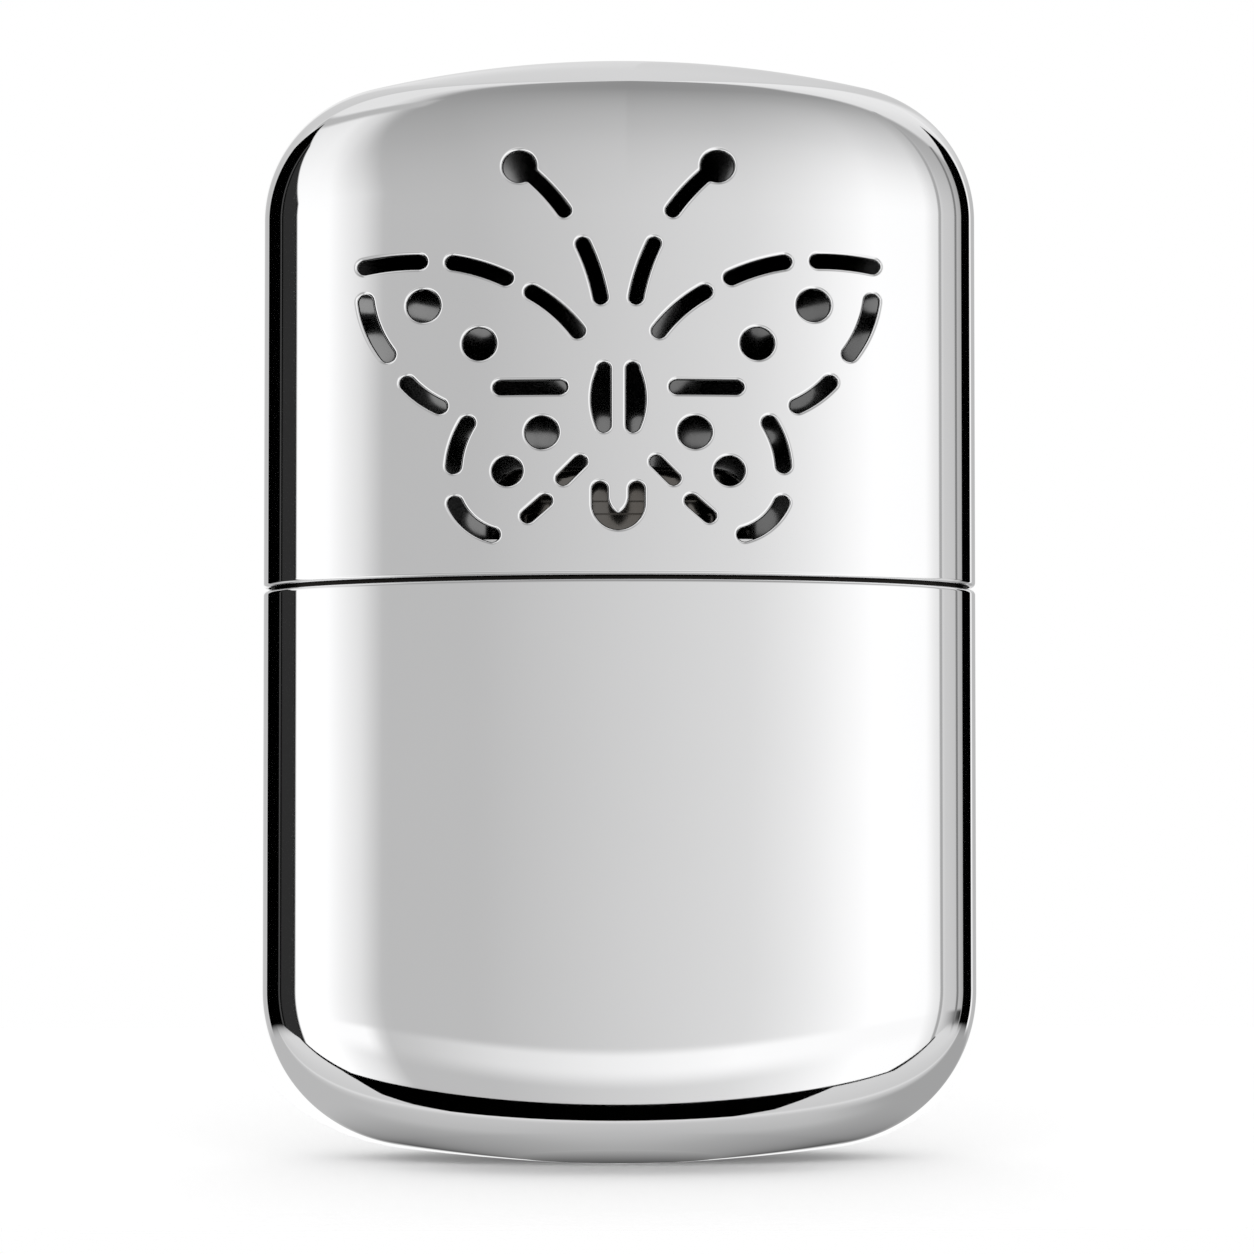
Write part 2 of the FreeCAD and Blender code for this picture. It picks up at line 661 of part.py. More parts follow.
def make_neck_felt():
    """The felt fills the neck between the screen and the grid."""
    body = new_body("neck_felt", "tank_height - neck_drop + screen_wall + soft_gap")
    outline = new_sketch(body, "felt_outline")
    draw_oblong(outline, "felt", neck_inside("width", "soft_gap"), neck_inside("depth", "soft_gap"))
    pad(body, outline, "neck_drop + neck_rise - 3 * screen_wall - 2 * soft_gap", "felt_plug")


def make_wick_strip():
    """The strip hangs between the batts, from just under the screen."""
    box = doc.addObject("Part::Box", "wick_strip")
    bind(box, Length="wick_width", Width="wick_sheet",
         Height="tank_height - neck_drop - soft_gap - wick_foot",
         Placement_Base_x="0 - wick_width / 2", Placement_Base_y="0 - wick_sheet / 2",
         Placement_Base_z="wick_foot")
    register(box, "wick_strip")


SLEEVE_BORE_WIDTH = "neck_width + 2 * sleeve_end_room"
SLEEVE_BORE_DEPTH = "neck_depth + 2 * sleeve_side_gap"
SLEEVE_LEVEL = "tank_height + sleeve_foot"
PAN_LEVEL = "tank_height + sleeve_foot + sleeve_height"
PAN_WIDTH = "neck_width + 2 * sleeve_end_room + 2 * burner_wall + 2 * pan_overhang"
PAN_DEPTH = "neck_depth + 2 * sleeve_side_gap + 2 * burner_wall + 2 * pan_overhang"
SPRING_FACE = "neck_width / 2 + spring_touch + spring_bow"
RIVET_RISE = "( spring_foot + spring_chord + sleeve_height ) / 2"
RIVET_LEVEL = f"{SLEEVE_LEVEL} + {RIVET_RISE}"


def make_burner_sleeve():
    """The skirt that slips over the neck; a cross hole at each end takes a spring's rivet."""
    body = new_body("burner_sleeve", SLEEVE_LEVEL)
    outer = new_sketch(body, "sleeve_outline")
    draw_oblong(outer, "outer", f"{SLEEVE_BORE_WIDTH} + 2 * burner_wall",
                f"{SLEEVE_BORE_DEPTH} + 2 * burner_wall")
    pad(body, outer, "sleeve_height", "sleeve_tube")
    bore = new_sketch(body, "sleeve_bore_outline")
    draw_oblong(bore, "bore", SLEEVE_BORE_WIDTH, SLEEVE_BORE_DEPTH)
    pocket(body, bore, "sleeve_bore")
    cross = new_sketch(body, "rivet_hole_outline", "YZ_Plane")
    rivet_circle = Part.Circle(V(0, size(RIVET_RISE), 0), V(0, 0, 1), size("rivet_radius + fit_gap"))
    number = cross.addGeometry(rivet_circle)
    cross.addConstraint(Sketcher.Constraint("PointOnObject", number, 3, -2))
    set_radius(cross, "rivet_hole", number, "rivet_radius + fit_gap")
    set_distance(cross, "rivet_level", "DistanceY", number, RIVET_RISE)
    pocket(body, cross, "rivet_holes")


def spring_cylinder(name, radius):
    """A lying cylinder whose near side touches the spring's inner face at the middle of its bow."""
    cylinder = doc.addObject("Part::Cylinder", name)
    cylinder.Placement = FreeCAD.Placement(V(0, 0, 0), FreeCAD.Rotation(V(1, 0, 0), 90))
    bow_radius = "( spring_chord * spring_chord / 4 + spring_bow * spring_bow ) / ( 2 * spring_bow )"
    bind(cylinder, Radius=radius.replace("BOW", bow_radius), Height="spring_width",
         Placement_Base_x=f"neck_width / 2 + spring_touch + {bow_radius}",
         Placement_Base_y="spring_width / 2",
         Placement_Base_z=f"{SLEEVE_LEVEL} + spring_foot + spring_chord / 2")
    return cylinder


def make_springs():
    """A bowed leaf with a flat tab above it, riveted inside each end of the sleeve."""
    ring = doc.addObject("Part::Cut", "spring_ring")
    ring.Base = spring_cylinder("spring_ring_outer", "BOW")
    ring.Tool = spring_cylinder("spring_ring_inner", "BOW - spring_sheet")
    room = doc.addObject("Part::Box", "spring_room")
    bind(room, Length="spring_bow + spring_sheet", Width="spring_width", Height="spring_chord",
         Placement_Base_x="neck_width / 2 + spring_touch", Placement_Base_y="0 - spring_width / 2",
         Placement_Base_z=f"{SLEEVE_LEVEL} + spring_foot")
    leaf = doc.addObject("Part::Common", "spring_leaf")
    leaf.Base = ring
    leaf.Tool = room
    tab = doc.addObject("Part::Box", "spring_tab")
    bind(tab, Length="spring_sheet", Width="spring_width",
         Height="sleeve_height - spring_foot - spring_chord - fit_gap",
         Placement_Base_x=SPRING_FACE, Placement_Base_y="0 - spring_width / 2",
         Placement_Base_z=f"{SLEEVE_LEVEL} + spring_foot + spring_chord")
    blank = doc.addObject("Part::Fuse", "spring_blank")
    blank.Base = leaf
    blank.Tool = tab
    hole = doc.addObject("Part::Cylinder", "spring_rivet_hole")
    hole.Placement = FreeCAD.Placement(V(0, 0, 0), FreeCAD.Rotation(V(0, 1, 0), 90))
    bind(hole, Radius="rivet_radius + fit_gap", Height="3 * spring_sheet",
         Placement_Base_x=f"{SPRING_FACE} - spring_sheet", Placement_Base_z=RIVET_LEVEL)
    right = doc.addObject("Part::Cut", "sleeve_spring_right")
    right.Base = blank
    right.Tool = hole
    left = mirrored(right, "sleeve_spring_left")
    register(right, "sleeve_spring_right")
    register(left, "sleeve_spring_left")


def mirrored(source, name):
    image = doc.addObject("Part::Mirroring", name)
    image.Source = source
    image.Base = V(0, 0, 0)
    image.Normal = V(1, 0, 0)
    return image


def rivet_disc(name, radius, start, length):
    disc = doc.addObject("Part::Cylinder", name)
    disc.Placement = FreeCAD.Placement(V(0, 0, 0), FreeCAD.Rotation(V(0, 1, 0), 90))
    bind(disc, Radius=radius, Height=length, Placement_Base_x=start, Placement_Base_z=RIVET_LEVEL)
    return disc


def make_rivets():
    """Each rivet runs from a head on the spring's tab to a head on the outside of the sleeve."""
    outside = "neck_width / 2 + sleeve_end_room + burner_wall + fit_gap"
    shank = rivet_disc("rivet_shank", "rivet_radius", SPRING_FACE, f"{outside} - ( {SPRING_FACE} )")
    inner_head = rivet_disc("rivet_inner_head", "rivet_head", f"{SPRING_FACE} - rivet_head_wall",
                            "rivet_head_wall")
    outer_head = rivet_disc("rivet_outer_head", "rivet_head", outside, "rivet_head_wall")
    right = doc.addObject("Part::MultiFuse", "rivet_right")
    right.Shapes = [shank, inner_head, outer_head]
    pair = doc.addObject("Part::Compound", "spring_rivets")
    pair.Links = [right, mirrored(right, "rivet_left")]
    register(pair, "spring_rivets")


def make_burner_pan():
    """A tray on the sleeve; the window in its floor lets the vapour in."""
    body = new_body("burner_pan", PAN_LEVEL)
    outer = new_sketch(body, "pan_outline")
    draw_oblong(outer, "outer", PAN_WIDTH, PAN_DEPTH)
    pad(body, outer, "pan_height", "pan_block")
    hollow = new_sketch(body, "pan_hollow_outline")
    hollow.setExpression("AttachmentOffset.Base.z", linked("burner_wall"))
    draw_oblong(hollow, "hollow", f"{PAN_WIDTH} - 2 * burner_wall", f"{PAN_DEPTH} - 2 * burner_wall")
    pocket(body, hollow, "pan_hollow", "pan_height")
    window = new_sketch(body, "pan_window_outline")
    draw_oblong(window, "window", "pan_window_width", "pan_window_depth")
    pocket(body, window, "pan_window")


def make_gauze(label, level):
    """A sheet of wire gauze that fits the pan: an oblong with rows of square mesh openings."""
    width = size(f"{PAN_WIDTH} - 2 * burner_wall - 2 * fit_gap")
    depth = size(f"{PAN_DEPTH} - 2 * burner_wall - 2 * fit_gap")
    low = size(level)
    high = low + size("gauze_wall")
    side = size("gauze_hole")
    pitch = size("gauze_pitch")
    border = pitch / 2
    columns = int((width / 2 - border) / pitch)
    rows = int((depth / 2 - border) / pitch)
    openings = []
    for column in range(-columns, columns + 1):
        for row in range(-rows, rows + 1):
            x = column * pitch
            y = row * pitch
            beyond = max(abs(x) + side / 2 - (width - depth) / 2, 0)
            if math.hypot(beyond, abs(y) + side / 2) < depth / 2 - (pitch - side) / 2:
                openings.append(Part.makeBox(side, side, 3 * (high - low),
                                             V(x - side / 2, y - side / 2, 2 * low - high)))
    make_shaped(label, oblong_prism(width, depth, low, high).cut(openings).Solids[0])


MAT_LEVEL = f"{PAN_LEVEL} + burner_wall + gauze_wall + 2 * fit_gap"


def make_gauzes():
    make_gauze("lower_mesh", f"{PAN_LEVEL} + burner_wall")
    make_gauze("upper_mesh", f"{MAT_LEVEL} + mat_height + 2 * fit_gap")


def make_catalyst_mat():
    """The glass-fibre mat between the gauzes, soft at its edges."""
    body = new_body("catalyst_mat", MAT_LEVEL)
    outline = new_sketch(body, "mat_outline")
    draw_oblong(outline, "mat", f"{PAN_WIDTH} - 2 * burner_wall - 2 * soft_gap",
                f"{PAN_DEPTH} - 2 * burner_wall - 2 * soft_gap")
    block = pad(body, outline, "mat_height", "mat_block")
    soften(body, block, size("mat_height"), "mat_round", "mat_edge")


FRAME_BORE_WIDTH = f"{PAN_WIDTH} + 2 * fit_gap"
FRAME_BORE_DEPTH = f"{PAN_DEPTH} + 2 * fit_gap"


def make_burner_frame():
    """The frame slips over the pan's rim, its upper edge drawn round, with a window for the glow."""
    body = new_body("burner_frame", f"{PAN_LEVEL} + pan_height + frame_rise - frame_height")
    outer = new_sketch(body, "frame_outline")
    draw_oblong(outer, "outer", f"{FRAME_BORE_WIDTH} + 2 * burner_wall",
                f"{FRAME_BORE_DEPTH} + 2 * burner_wall")
    block = pad(body, outer, "frame_height", "frame_block")
    soften(body, block, size("frame_height"), "frame_round", "frame_edge")
    hollow = new_sketch(body, "frame_hollow_outline")
    draw_oblong(hollow, "hollow", FRAME_BORE_WIDTH, FRAME_BORE_DEPTH)
    cavity = pocket(body, hollow, "frame_hollow", "frame_height - burner_wall")
    soften(body, cavity, size("frame_height - burner_wall"), "frame_round - burner_wall", "frame_hollow_edge")
    window = new_sketch(body, "frame_window_outline")
    draw_oblong(window, "window", "window_width", "window_depth")
    pocket(body, window, "frame_window")


def make_guard_bars():
    """A stamped guard just under the frame's window, resting against the frame's top."""
    body = fitted_plate("guard_bars", f"{PAN_LEVEL} + pan_height + frame_rise - burner_wall - guard_wall",
                        f"{FRAME_BORE_WIDTH} - 2 * ( frame_round - burner_wall )",
                        f"{FRAME_BORE_DEPTH} - 2 * ( frame_round - burner_wall )", "guard_wall")
    slotted(body, "guard", size("guard_slot"), size("window_depth"), size("guard_pitch"),
            size("window_width"))


# ---------------------------------------------------------------- build, test and write

def check_objects():
    """Stops if any object failed, or if a sub-part's shape is empty or invalid."""
    for thing in doc.Objects:
        if "Invalid" in thing.State or "Error" in thing.State:
            raise RuntimeError(f"{thing.Label} failed: {thing.State}")
    for thing in subparts:
        if thing.Shape.isNull() or not thing.Shape.isValid() or not thing.Shape.Solids:
            raise RuntimeError(f"{thing.Label} has no valid solid")


def write_parts():
    os.makedirs("parts", exist_ok=True)
    for thing in subparts:
        thing.Shape.exportStep(f"parts/{thing.Label}.step")
        print(f"{thing.Label}: {len(thing.Shape.Solids)} solid(s), {thing.Shape.Volume:.2f} mm3")


def main():
    fill_sheet()
    make_tank_shell()
    make_shoulder_plate()
    make_collar_band()
    make_filler_neck()
    make_neck_screen()
    make_neck_grid()
    make_neck_felt()
    make_batts()
    make_wick_strip()
    make_burner_sleeve()
    make_springs()
    make_rivets()
    make_burner_pan()
    make_gauzes()
    make_catalyst_mat()
    make_burner_frame()
    make_guard_bars()
    make_cap_shell()
    doc.recompute()
    check_objects()
    write_parts()


main()
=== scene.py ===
# %% [markdown]
# # A catalytic hand warmer
# A flat oval pocket case in two polished halves. The tank below holds cotton and fuel, the burner plugs
# on the tank's neck, and the cap with its butterfly of air vents slides over both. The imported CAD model
# is the fixed frame: every size here is in its millimetres or is read from it, and each new piece rides
# on one of its bodies.

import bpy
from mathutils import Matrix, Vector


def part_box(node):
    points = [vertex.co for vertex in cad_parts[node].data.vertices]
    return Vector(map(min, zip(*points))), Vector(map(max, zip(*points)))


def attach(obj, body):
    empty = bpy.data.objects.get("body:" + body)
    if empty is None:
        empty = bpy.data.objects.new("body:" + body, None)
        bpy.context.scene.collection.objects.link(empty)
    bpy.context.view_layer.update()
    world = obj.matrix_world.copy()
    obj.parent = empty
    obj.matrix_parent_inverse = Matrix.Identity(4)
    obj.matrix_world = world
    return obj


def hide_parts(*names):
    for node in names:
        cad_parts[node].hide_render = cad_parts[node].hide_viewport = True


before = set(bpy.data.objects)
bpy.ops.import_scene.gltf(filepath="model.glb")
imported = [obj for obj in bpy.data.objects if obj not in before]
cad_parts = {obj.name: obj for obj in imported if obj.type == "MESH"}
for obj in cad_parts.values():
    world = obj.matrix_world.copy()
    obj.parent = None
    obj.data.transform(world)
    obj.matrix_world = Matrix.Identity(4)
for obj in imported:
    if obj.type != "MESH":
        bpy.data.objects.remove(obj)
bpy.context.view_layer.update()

# %% [markdown]
# ## Units and small helpers
# Blender works in metres and a pocket warmer is drawn in millimetres, so the shapes below are worked out
# in millimetres and scaled once, when a mesh is made. A mesh comes from plain lists of points and faces.
# Polished sheet needs one more thing: a mirror shows every flat facet, so the exact normal of each point
# goes in too.

# %% Modules and units
import math

import bpy
from mathutils import Vector, noise
from mathutils.geometry import delaunay_2d_cdt

MM = 0.001


def box_mm(node):
    """The lowest and highest corner of a CAD node, in millimetres."""
    return tuple(tuple(value / MM for value in corner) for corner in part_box(node))


print("Blender", bpy.app.version_string, "with", len(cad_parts), "CAD nodes")

# %% Make a piece from points and faces
def make_piece(name, points, faces, materials, body, node=None, normals=None, kinds=None):
    """A mesh piece in the row frame from points in mm. It rides on a body and may stand for a CAD node."""
    mesh = bpy.data.meshes.new(name)
    mesh.from_pydata([[value * MM for value in point] for point in points], [], faces)
    for material in materials:
        mesh.materials.append(material)
    if kinds is not None:
        mesh.polygons.foreach_set("material_index", kinds)
    mesh.polygons.foreach_set("use_smooth", [True] * len(mesh.polygons))
    if normals is not None:
        mesh.normals_split_custom_set_from_vertices(normals)
    piece = bpy.data.objects.new(name, mesh)
    bpy.context.scene.collection.objects.link(piece)
    if body is not None:
        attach(piece, body)
    if node is not None:
        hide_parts(node)
    print(f"{name}: {len(points)} points, {len(faces)} faces")
    return piece


# %% [markdown]
# ## Marks that several finishes share
# Polished, plated and brushed metal all carry the same kinds of marks at different strengths: hair-fine
# lines left by the wheel and a cloudy haze. One node group makes them, and each metal places it with its
# own numbers. The group gives out only masks and heights, which the metal turns into roughness and bump.
# In the helpers below, a node's input takes either a plain value or the output of another node.

# %% Node helpers
def feed(socket, value):
    """Gives an input socket a plain value or another node's output."""
    if isinstance(value, bpy.types.NodeSocket):
        socket.id_data.links.new(value, socket)
    else:
        socket.default_value = value


def set_node(node, **values):
    """Sets a node's properties and inputs by name."""
    for key, value in values.items():
        if hasattr(node, key):
            setattr(node, key, value)
        else:
            feed(node.inputs[key.replace("_", " ")], value)
    return node


def add_node(tree, kind, **values):
    """A new node with its properties and inputs set by name."""
    return set_node(tree.nodes.new("ShaderNode" + kind), **values)


def combine(operation, *values):
    """The result of a Math node. A value is a number or the output of a node in the same tree."""
    tree = next(value.id_data for value in values if isinstance(value, bpy.types.NodeSocket))
    node = add_node(tree, "Math", operation=operation)
    for socket, value in zip(node.inputs, values):
        feed(socket, value)
    return node.outputs["Value"]


# %% Groups and materials
def new_group(name, inputs, outputs):
    """An empty shader group: itself, the values that come in, and the sockets that take its results."""
    group = bpy.data.node_groups.new(name, "ShaderNodeTree")
    for socket, kind, value in inputs:
        made = group.interface.new_socket(socket, in_out="INPUT", socket_type="NodeSocket" + kind)
        if value is not None:
            made.default_value = value
    for socket, kind in outputs:
        group.interface.new_socket(socket, in_out="OUTPUT", socket_type="NodeSocket" + kind)
    print("group", name)
    return group, group.nodes.new("NodeGroupInput").outputs, group.nodes.new("NodeGroupOutput").inputs


def place_group(tree, group, **values):
    """The outputs of a node group placed in a tree with its own values."""
    return add_node(tree, "Group", node_tree=group, **values).outputs


def new_material(name):
    """A material, its tree, its Principled shader and the place on the piece as a vector."""
    material = bpy.data.materials.new(name)
    material.use_nodes = True
    tree = material.node_tree
    print("material", name)
    return material, tree, tree.nodes["Principled BSDF"], add_node(tree, "TexCoord").outputs["Object"]


# %% Group: marks of the polishing wheel
wheel_marks, given, result = new_group(
    "wheel_marks",
    [("Vector", "Vector", None), ("Line Scale", "Float", 900.0), ("Haze Scale", "Float", 60.0)],
    [("Lines", "Float"), ("Haze", "Float"), ("Height", "Float")],
)
stretch = add_node(wheel_marks, "Mapping", Vector=given["Vector"], Scale=(1.0, 1.0, 0.03))
lines = add_node(wheel_marks, "TexNoise", Vector=stretch.outputs["Vector"], Scale=given["Line Scale"],
                 Detail=3.0, Roughness=0.6).outputs["Fac"]
haze = add_node(wheel_marks, "TexNoise", Vector=given["Vector"], Scale=given["Haze Scale"],
                Detail=5.0, Roughness=0.55).outputs["Fac"]
HAZE_HEIGHT = 0.6
feed(result["Lines"], lines)
feed(result["Haze"], haze)
feed(result["Height"], combine("MULTIPLY_ADD", haze, HAZE_HEIGHT, lines))

# %% [markdown]
# ## Metal finishes
# All the metals are the same recipe: a metallic Principled shader whose roughness moves between two
# values with the haze and the lines, and a very small bump. The case is a mirror, so its numbers are
# tiny. The burner has been hot, so its steel is duller and carries a straw stain. Its dark colour is
# partly that heat tint and partly painted shade, so that it reads dark inside the closed cap. The
# case's lining is a dark metal, painted shade for the inside of the closed case.

# %% Metal recipe
MARKS_FROM, MARKS_TO = 0.35, 0.7
HAZE_SHADE = 0.97


def make_metal(name, colour, smooth, rough, bump, line_scale, haze_scale, stain=None):
    """A metal between two roughness values, with the wheel's marks and, if given, a heat stain colour."""
    material, tree, shader, place = new_material(name)
    marks = place_group(tree, wheel_marks, Vector=place, Line_Scale=line_scale, Haze_Scale=haze_scale)
    mean = combine("MULTIPLY_ADD", marks["Haze"], 0.5, combine("MULTIPLY", marks["Lines"], 0.5))
    spread = add_node(tree, "MapRange", Value=mean, From_Min=MARKS_FROM, From_Max=MARKS_TO,
                      To_Min=smooth, To_Max=rough)
    stain = stain or [value * HAZE_SHADE for value in colour]
    tint = add_node(tree, "Mix", data_type="RGBA", Factor=marks["Haze"], A=(*colour, 1.0), B=(*stain, 1.0))
    relief = add_node(tree, "Bump", Height=marks["Height"], Strength=1.0, Distance=bump)
    set_node(shader, Metallic=1.0, Roughness=spread.outputs["Result"], Base_Color=tint.outputs["Result"],
             Normal=relief.outputs["Normal"])
    return material


polished_case = make_metal("polished_case", (0.90, 0.90, 0.905), 0.02, 0.05, 2e-7, 900.0, 60.0)
# The lining's dark colour is painted shade for the inside of the closed case.
case_inside = make_metal("case_inside", (0.26, 0.26, 0.26), 0.05, 0.12, 5e-7, 500.0, 150.0)
plated_sheet = make_metal("plated_sheet", (0.80, 0.80, 0.80), 0.10, 0.22, 1e-6, 700.0, 120.0)
collar_sheet = make_metal("collar_sheet", (0.80, 0.80, 0.80), 0.12, 0.25, 1e-6, 700.0, 120.0)
# The burner's dark colour is partly heat tint and partly painted shade for the inside of the cap.
burner_steel = make_metal("burner_steel", (0.19, 0.186, 0.182), 0.12, 0.24, 2e-6, 800.0, 200.0,
                          (0.13, 0.113, 0.095))
spring_steel = make_metal("spring_steel", (0.46, 0.49, 0.55), 0.2, 0.32, 2e-6, 800.0, 200.0)
rivet_brass = make_metal("rivet_brass", (0.75, 0.56, 0.28), 0.15, 0.3, 2e-6, 700.0, 200.0)
wire_metal = make_metal("wire_gauze", (0.50, 0.49, 0.47), 0.3, 0.5, 3e-6, 900.0, 300.0)

# %% [markdown]
# The cap's lip leaves a fine gap over the tank. The collar's lowest part is painted nearly black there,
# a painted shade for the shadow in that gap. It is what makes the seam of the closed case read as a
# black line.

# %% Painted shade at the foot of the collar
SHADE_RING_TOP, SHADE_RING_SOFT = 53.6, 0.1
tree = collar_sheet.node_tree
base_colour = tree.nodes["Principled BSDF"].inputs["Base Color"]
height = add_node(tree, "SeparateXYZ", Vector=add_node(tree, "TexCoord").outputs["Object"]).outputs["Z"]
above_shade_ring = add_node(tree, "MapRange", interpolation_type="SMOOTHSTEP", Value=height,
                      From_Min=(SHADE_RING_TOP - SHADE_RING_SOFT) * MM, From_Max=(SHADE_RING_TOP + SHADE_RING_SOFT) * MM)
shaded_collar = add_node(tree, "Mix", data_type="RGBA", Factor=above_shade_ring.outputs["Result"],
                  A=(0.015, 0.014, 0.013, 1.0), B=base_colour.links[0].from_socket)
feed(base_colour, shaded_collar.outputs["Result"])
print("dark ring up to", SHADE_RING_TOP, "mm")

# %% [markdown]
# ## Fibre finishes
# Felt, cotton and glass fibre all scatter light softly and show fine tangled strands. One group makes
# the tangle; the felt is dense and cream, the cotton is loose and white and the catalyst mat is grey
# from its metal.

# %% Group: tangled fibres
fibre_tangle, given, result = new_group(
    "fibre_tangle",
    [("Vector", "Vector", None), ("Scale", "Float", 1500.0), ("Light", "Color", (0.9, 0.9, 0.9, 1)),
     ("Dark", "Color", (0.6, 0.6, 0.6, 1))],
    [("Colour", "Color"), ("Height", "Float")],
)
BEND = 0.004
bend = add_node(fibre_tangle, "TexNoise", Vector=given["Vector"], Scale=300.0, Detail=2.0)
shift = add_node(fibre_tangle, "VectorMath", operation="SCALE", Vector=bend.outputs["Color"], Scale=BEND)
moved = add_node(fibre_tangle, "VectorMath", operation="ADD", Vector=shift.outputs["Vector"])
feed(moved.inputs[1], given["Vector"])
strands = add_node(fibre_tangle, "TexNoise", Vector=moved.outputs["Vector"], Scale=given["Scale"],
                   Detail=6.0, Roughness=0.7).outputs["Fac"]
shade = add_node(fibre_tangle, "Mix", data_type="RGBA", Factor=strands, A=given["Dark"], B=given["Light"])
feed(result["Colour"], shade.outputs["Result"])
feed(result["Height"], strands)


# %% Fibre recipe
def make_fibre(name, light, dark, scale, bump):
    """A soft fibre finish from the tangle group."""
    material, tree, shader, place = new_material(name)
    tangle = place_group(tree, fibre_tangle, Vector=place, Scale=scale, Light=(*light, 1), Dark=(*dark, 1))
    relief = add_node(tree, "Bump", Height=tangle["Height"], Strength=1.0, Distance=bump)
    set_node(shader, Roughness=0.95, Sheen_Weight=0.3, Base_Color=tangle["Colour"],
             Normal=relief.outputs["Normal"])
    return material


felt = make_fibre("felt", (0.90, 0.88, 0.82), (0.62, 0.59, 0.52), 2500.0, 0.00015)
cotton = make_fibre("cotton", (0.96, 0.95, 0.92), (0.75, 0.74, 0.70), 1200.0, 0.0004)
catalyst_fibre = make_fibre("catalyst_fibre", (0.44, 0.42, 0.40), (0.16, 0.15, 0.14), 2200.0, 0.0002)

# %% [markdown]
# ## The oval form of the case
# Seen from the front each half is a straight wall, a corner arc and a very flat arch. Seen from above it
# is an ellipse. So the form is a stack of level ellipses, here called rings. A ring keeps its half
# width, half depth and level, and how fast each of the three grows along the outline. From those six
# numbers the exact normal of any point follows, and a grid of points with exact normals reflects like
# real drawn metal.

# %% Sizes of the case
(*_, CAP_LIP), (HALF_WIDTH, HALF_DEPTH, CROWN) = box_mm("cap_shell")
TANK_EDGE = box_mm("tank_shell")[1][2]
SQUEEZE = HALF_DEPTH / HALF_WIDTH
WALL = 0.5
LIP_ROUND = 0.42
CROWN_ARCH, CROWN_CORNER = 100.0, 12.7
BASE_ARCH, BASE_CORNER, BASE_TRIM = 136.0, 14.4, 0.32
FOOT_HALF_DEPTH, FOOT_EASE = 4.5, 0.6
print("half width", HALF_WIDTH, "half depth", HALF_DEPTH)
print("lip", CAP_LIP, "crown", CROWN, "tank edge", TANK_EDGE)

# %% Rings
ROUND_PARTS = 288
CROWDING = 0.28


def round_angle(index):
    """An angle round the oval, closer together at its sharp ends. Index 0 is the east end."""
    turn = math.tau * index / ROUND_PARTS
    return turn - CROWDING * math.sin(2 * turn)


def oval_point(ring, angle):
    """A point of a ring and its exact unit normal."""
    wide, deep, level, wider, deeper, higher = ring
    cos, sin = math.cos(angle), math.sin(angle)
    normal = Vector((deep * higher * cos, wide * higher * sin,
                     -wide * deeper * sin * sin - deep * wider * cos * cos))
    return Vector((wide * cos, deep * sin, level)), normal.normalized()


def arch_and_corner(arch, corner):
    """The slope where an arch meets its corner, and the corner centre's distance from axis and apex."""
    inset = HALF_WIDTH - corner
    slope = math.asin(inset / (arch - corner))
    return slope, inset, arch - (arch - corner) * math.cos(slope)


print("parts of the oval", ROUND_PARTS, "angle of the second point", round(round_angle(1), 4))

# %% Rings of the cap
crown_slope, crown_inset, crown_drop = arch_and_corner(CROWN_ARCH, CROWN_CORNER)
CORNER_LEVEL = CROWN - crown_drop
WALL_ROWS, CORNER_ROWS, ARCH_ROWS = 18, 60, 24


def wall_ring(level):
    """A ring of the straight wall."""
    return (HALF_WIDTH, HALF_DEPTH, level, 0.0, 0.0, 1.0)


def round_ring(centre, level, radius, lean):
    """A ring of the cap's corner or arch, where the outline's normal leans by so much from upright."""
    wide = centre + radius * math.sin(lean)
    wider = -radius * math.cos(lean)
    return (wide, SQUEEZE * wide, level + radius * math.cos(lean), wider, SQUEEZE * wider,
            radius * math.sin(lean))


low = CAP_LIP + LIP_ROUND
cap_rings = [wall_ring(low + (CORNER_LEVEL - low) * step / WALL_ROWS) for step in range(WALL_ROWS)]
for step in range(CORNER_ROWS):
    lean = math.pi / 2 + (crown_slope - math.pi / 2) * step / CORNER_ROWS
    cap_rings.append(round_ring(crown_inset, CORNER_LEVEL, CROWN_CORNER, lean))
for step in range(ARCH_ROWS):
    lean = crown_slope * (1 - step / ARCH_ROWS)
    cap_rings.append(round_ring(0.0, CROWN - CROWN_ARCH, CROWN_ARCH, lean))
print("cap rings", len(cap_rings), "corner starts at", round(CORNER_LEVEL, 2))

# %% [markdown]
# The tank's underside is not an arch turned about the middle: its foot is deeper than that, so that the
# case stands. Its bands are steered by a middle ring, as a conic curve is: the first and last ring lie
# on the form and the middle one is where the tangents meet.

# %% Rings of the tank
base_slope, _, base_rise = arch_and_corner(BASE_ARCH, BASE_CORNER)
foot_slope = math.acos(1 - BASE_TRIM / BASE_ARCH)
foot_wide = BASE_ARCH * math.sin(foot_slope)
join_wide = BASE_ARCH * math.sin(base_slope)
join_level = BASE_ARCH - BASE_ARCH * math.cos(base_slope) - BASE_TRIM
bend_wide = join_level + foot_wide * math.tan(foot_slope) - join_wide * math.tan(base_slope)
bend_wide /= math.tan(foot_slope) - math.tan(base_slope)
bend_level = (bend_wide - foot_wide) * math.tan(foot_slope)
bend_deep = FOOT_HALF_DEPTH + FOOT_EASE
corner_level = join_level + (HALF_WIDTH - join_wide) * math.tan(base_slope)
join_deep = bend_deep + (HALF_DEPTH - bend_deep) * (join_level - bend_level) / (corner_level - bend_level)
foot_ring = Vector((foot_wide, FOOT_HALF_DEPTH, 0.0))
bend_ring = Vector((bend_wide, bend_deep, bend_level))
join_ring = Vector((join_wide, join_deep, join_level))
corner_ring = Vector((HALF_WIDTH, HALF_DEPTH, corner_level))
side_ring = Vector((HALF_WIDTH, HALF_DEPTH, base_rise - BASE_TRIM))


